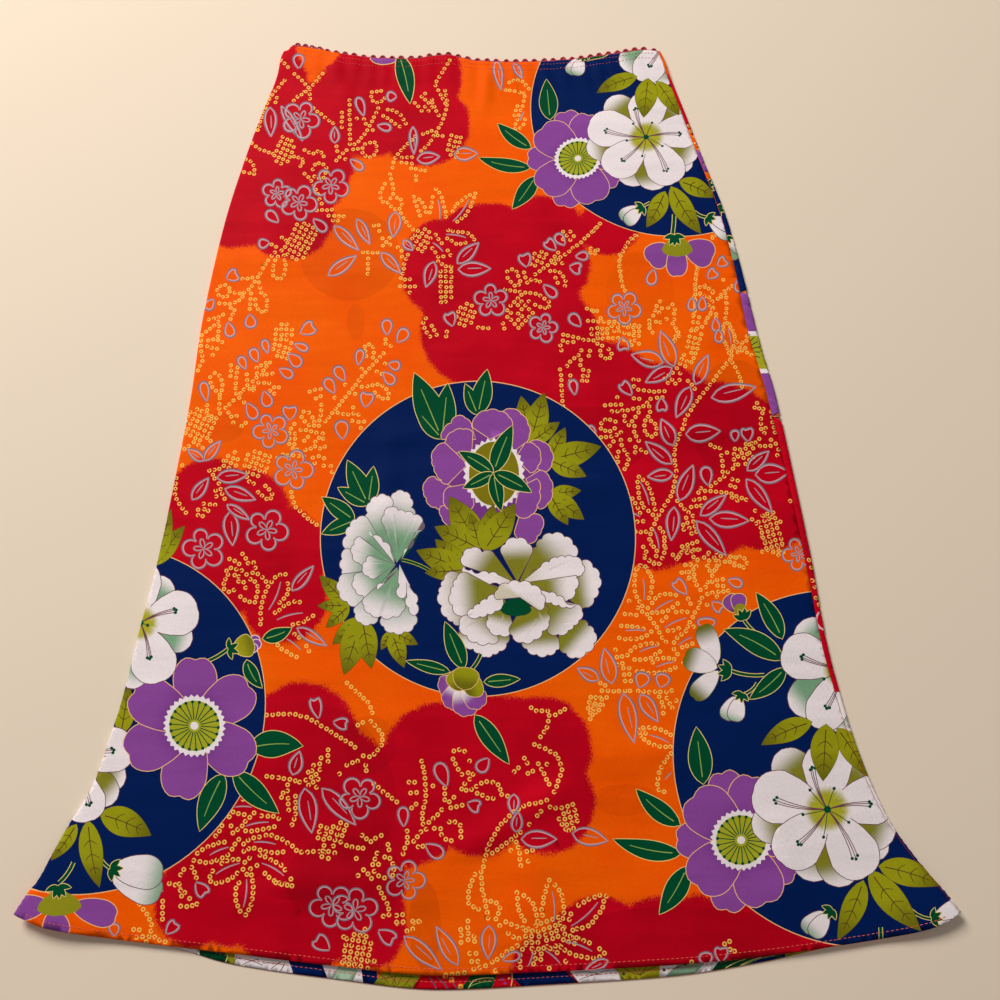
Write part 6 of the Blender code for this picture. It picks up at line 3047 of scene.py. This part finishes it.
def crepe_bump(nodes, coords):
    """The fine uneven grain of crepe."""
    inputs = {"Vector": coords, "Scale": 900.0, "Distortion": 3.0, "Detail": 1.0}
    threads = []
    for direction in ("X", "Y"):
        waves = nodes.new("TexWave", {"wave_type": "BANDS", "bands_direction": direction}, inputs)
        threads.append(waves.outputs["Fac"])
    grain = nodes.noise(coords, 1400.0, 2.0)
    height = nodes.math("ADD", nodes.math("MULTIPLY", *threads), grain)
    return nodes.new("Bump", None, {"Strength": 0.25, "Distance": 0.0001, "Height": height}).outputs[0]


def soft_creases(nodes, coords, grain):
    """Shallow waves and fine lying creases of thin cloth, under its grain."""
    for scale, size, deep in (((1.0, 1.6, 1.0), 8.0, 0.0045), ((0.5, 2.4, 1.0), 17.0, 0.0016)):
        turned = {"Vector": coords, "Scale": scale, "Rotation": (0.0, 0.0, 0.35)}
        waves = nodes.noise(nodes.new("Mapping", None, turned).outputs[0], size, 2.0, 0.45)
        inputs = {"Strength": 1.0, "Distance": deep, "Height": waves, "Normal": grain}
        grain = nodes.new("Bump", None, inputs).outputs[0]
    return grain


def ring_share(nodes):
    """How far a place is in the ring of a tie-dye dot."""
    place = nodes.new("Attribute", {"attribute_name": "ring"}).outputs["Vector"]
    parts = nodes.new("SeparateXYZ", None, {0: place}).outputs
    flat = nodes.new("CombineXYZ", None, {0: parts[0], 1: parts[1]}).outputs[0]
    away = nodes.new("VectorMath", {"operation": "LENGTH"}, {0: flat}).outputs[1]
    off = nodes.math("ABSOLUTE", nodes.math("SUBTRACT", away, 0.68))
    band = nodes.ramp(off, 0.31, 0.18)
    ahead = nodes.math("GREATER_THAN", parts[0], 0.0)
    narrow = nodes.math("LESS_THAN", nodes.math("ABSOLUTE", parts[1]), parts[2])
    gap = nodes.math("MULTIPLY", ahead, narrow)
    return nodes.math("MULTIPLY", band, nodes.math("SUBTRACT", 1.0, gap))


def print_material():
    nodes = Nodes("printed_crepe")
    coords = nodes.new("TexCoord").outputs["Object"]
    inks = nodes.new("Attribute", {"attribute_name": "ink"})
    cloud = nodes.new("Attribute", {"attribute_name": "cloud"}).outputs["Fac"]
    stretched = nodes.new("Mapping", None, {"Vector": coords, "Scale": (1.0, 0.35, 1.0)}).outputs[0]
    fine = nodes.noise(stretched, 1500.0, 2.0, 0.6)
    coarse = nodes.noise(coords, 60.0, 3.0, 0.6)
    ragged = nodes.math("MULTIPLY_ADD", nodes.math("SUBTRACT", fine, 0.5), 12.0, cloud)
    ragged = nodes.math("MULTIPLY_ADD", nodes.math("SUBTRACT", coarse, 0.5), 8.0, ragged)
    red_share = nodes.ramp(ragged, -1.6, 1.8)
    # Large random patches, darker and lighter: uneven dye, and partly painted shade that stands in for soft
    # hollows in the cloth.
    mottle = nodes.noise(coords, 14.0, 4.0, 0.55)
    orange = nodes.mix_color(mottle, rgba((250, 72, 0)), rgba((255, 112, 0)))
    red = nodes.mix_color(mottle, rgba((164, 0, 20)), rgba((222, 4, 36)))
    ground = nodes.mix_color(red_share, orange, red)
    # The ground times the ink's colour, which carries the show-through and painted shade patches.
    shaded = nodes.mix_color(1.0, ground, inks.outputs["Color"], "MULTIPLY")
    color = nodes.mix_color(inks.outputs["Alpha"], shaded, inks.outputs["Color"])
    color = nodes.mix_color(ring_share(nodes), color, rgba(DOT))
    speck = nodes.noise(coords, 700.0, 2.0, 0.6)
    tone = nodes.new("MapRange", None, {0: speck, 1: 0.3, 2: 0.7, 3: 0.93, 4: 1.05}).outputs[0]
    tone_color = nodes.new("CombineColor", None, {0: tone, 1: tone, 2: tone}).outputs[0]
    color = nodes.mix_color(1.0, color, tone_color, "MULTIPLY")
    grain = soft_creases(nodes, coords, crepe_bump(nodes, coords))
    look = {"Base Color": color, "Normal": grain, "Roughness": 0.58, "Specular IOR Level": 0.03}
    nodes.feed(nodes.shader, look)
    return nodes.material


def thread_material(name, color, highlight_and_fleck, scale=900.0):
    """Twisted thread: fine slanted ridges with a painted highlight along them, and a little unevenness of
    colour.
    """
    nodes = Nodes(name)
    coords = nodes.new("TexCoord").outputs["Object"]
    turned = nodes.new("Mapping", None, {"Vector": coords, "Rotation": (0.0, 0.0, 0.7)}).outputs[0]
    inputs = {"Vector": turned, "Scale": scale, "Distortion": 1.0, "Detail": 1.0}
    twist = nodes.new("TexWave", {"wave_type": "BANDS"}, inputs).outputs["Fac"]
    uneven = nodes.noise(coords, 120.0, 3.0)
    # The lighter colour is a painted highlight on the ridges of the twist, and random paler flecks.
    share = nodes.math("MULTIPLY_ADD", twist, 0.45, nodes.math("MULTIPLY", uneven, 0.6))
    dyed_and_highlit = nodes.mix_color(share, rgba(color), rgba(highlight_and_fleck))
    bump = nodes.new("Bump", None, {"Strength": 0.5, "Distance": 0.0002, "Height": twist}).outputs[0]
    nodes.feed(nodes.shader, {"Base Color": dyed_and_highlit, "Normal": bump, "Roughness": 0.6})
    return nodes.material


def wrong_side_material():
    """The paler inner side of the print."""
    nodes = Nodes("wrong_side")
    coords = nodes.new("TexCoord").outputs["Object"]
    cloud = nodes.new("Attribute", {"attribute_name": "cloud"}).outputs["Fac"]
    coarse = nodes.noise(coords, 60.0, 3.0, 0.6)
    ragged = nodes.math("MULTIPLY_ADD", nodes.math("SUBTRACT", coarse, 0.5), 8.0, cloud)
    red_share = nodes.ramp(ragged, -2.0, 2.0)
    color = nodes.mix_color(red_share, rgba((240, 130, 70)), rgba((190, 60, 70)))
    bump = crepe_bump(nodes, coords)
    nodes.feed(nodes.shader, {"Base Color": color, "Normal": bump, "Roughness": 0.7})
    return nodes.material


# ---------------------------------------------------------------------------------------------
# Stage
# ---------------------------------------------------------------------------------------------


def make_floor():
    nodes = Nodes("plain_floor")
    nodes.feed(nodes.shader, {"Base Color": rgba((238, 222, 202)), "Roughness": 0.9})
    size = 6000.0
    corners = [(-size, -size, 0), (size, -size, 0), (size, size, 0), (-size, size, 0)]
    floor = mesh_object("floor", corners, [(0, 1, 2, 3)], nodes.material)


def make_light(name, place, size, power, color):
    """A round lamp that points at the middle of the floor."""
    data = bpy.data.lights.new(name, "AREA")
    data.shape = "DISK"
    data.size = size
    data.energy = power
    data.color = color
    lamp = bpy.data.objects.new(name, data)
    lamp.location = place
    lamp.rotation_euler = (-Vector(place)).to_track_quat("-Z", "Y").to_euler()
    bpy.context.scene.collection.objects.link(lamp)


def make_stage():
    make_floor()
    make_light("key", (-1.5, 2.1, 2.0), 1.4, 114.0, (1.0, 0.95, 0.89))
    make_light("fill", (1.8, -0.9, 2.4), 2.2, 4.0, (1.0, 0.97, 0.94))
    world = bpy.data.worlds.new("soft_room")
    world.use_nodes = True
    background = world.node_tree.nodes["Background"]
    background.inputs["Color"].default_value = (1.0, 0.96, 0.92, 1.0)
    background.inputs["Strength"].default_value = 0.17
    bpy.context.scene.world = world


def make_camera():
    data = bpy.data.cameras.new("camera")
    data.sensor_fit = "HORIZONTAL"
    data.sensor_width = SENSOR_MM
    data.lens = FOCAL_PX / PICTURE * SENSOR_MM
    data.clip_end = 50.0
    camera = bpy.data.objects.new("camera", data)
    camera.location = [METRES * value for value in CAMERA_AT]
    camera.rotation_euler = (TILT, 0.0, 0.0)
    bpy.context.scene.collection.objects.link(camera)
    bpy.context.scene.camera = camera


def main():
    for thing in list(bpy.data.objects):
        bpy.data.objects.remove(thing, do_unlink=True)
    bpy.context.scene.view_settings.view_transform = "Standard"
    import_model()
    make_camera()
    make_stage()
    cloth = (print_material(), wrong_side_material())
    front = printed_panel("front_cloth", "front", front_print(), cloud_edge, cloth)
    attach(front, "root")
    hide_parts("front_panel")
    back = printed_panel("back_cloth", "back", back_print(), back_cloud_edge, cloth)
    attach(back, "root")
    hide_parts("back_panel")
    turning = hem_turning(cloth)
    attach(turning, "root")
    # The second thread colour is a painted highlight on the cord's ridges.
    elastic = make_elastic(thread_material("picot_thread", (128, 2, 34), (214, 60, 86)))
    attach(elastic, "root")
    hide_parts("waist_elastic")
    # The second thread colour is a painted highlight on the thread's ridges.
    thread = thread_material("sewing_thread", (232, 70, 56), (255, 128, 104), 2200.0)
    front_rows = front_stitching(thread)
    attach(front_rows, "root")
    hem_rows = hem_stitching(thread)
    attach(hem_rows, "root")


main()
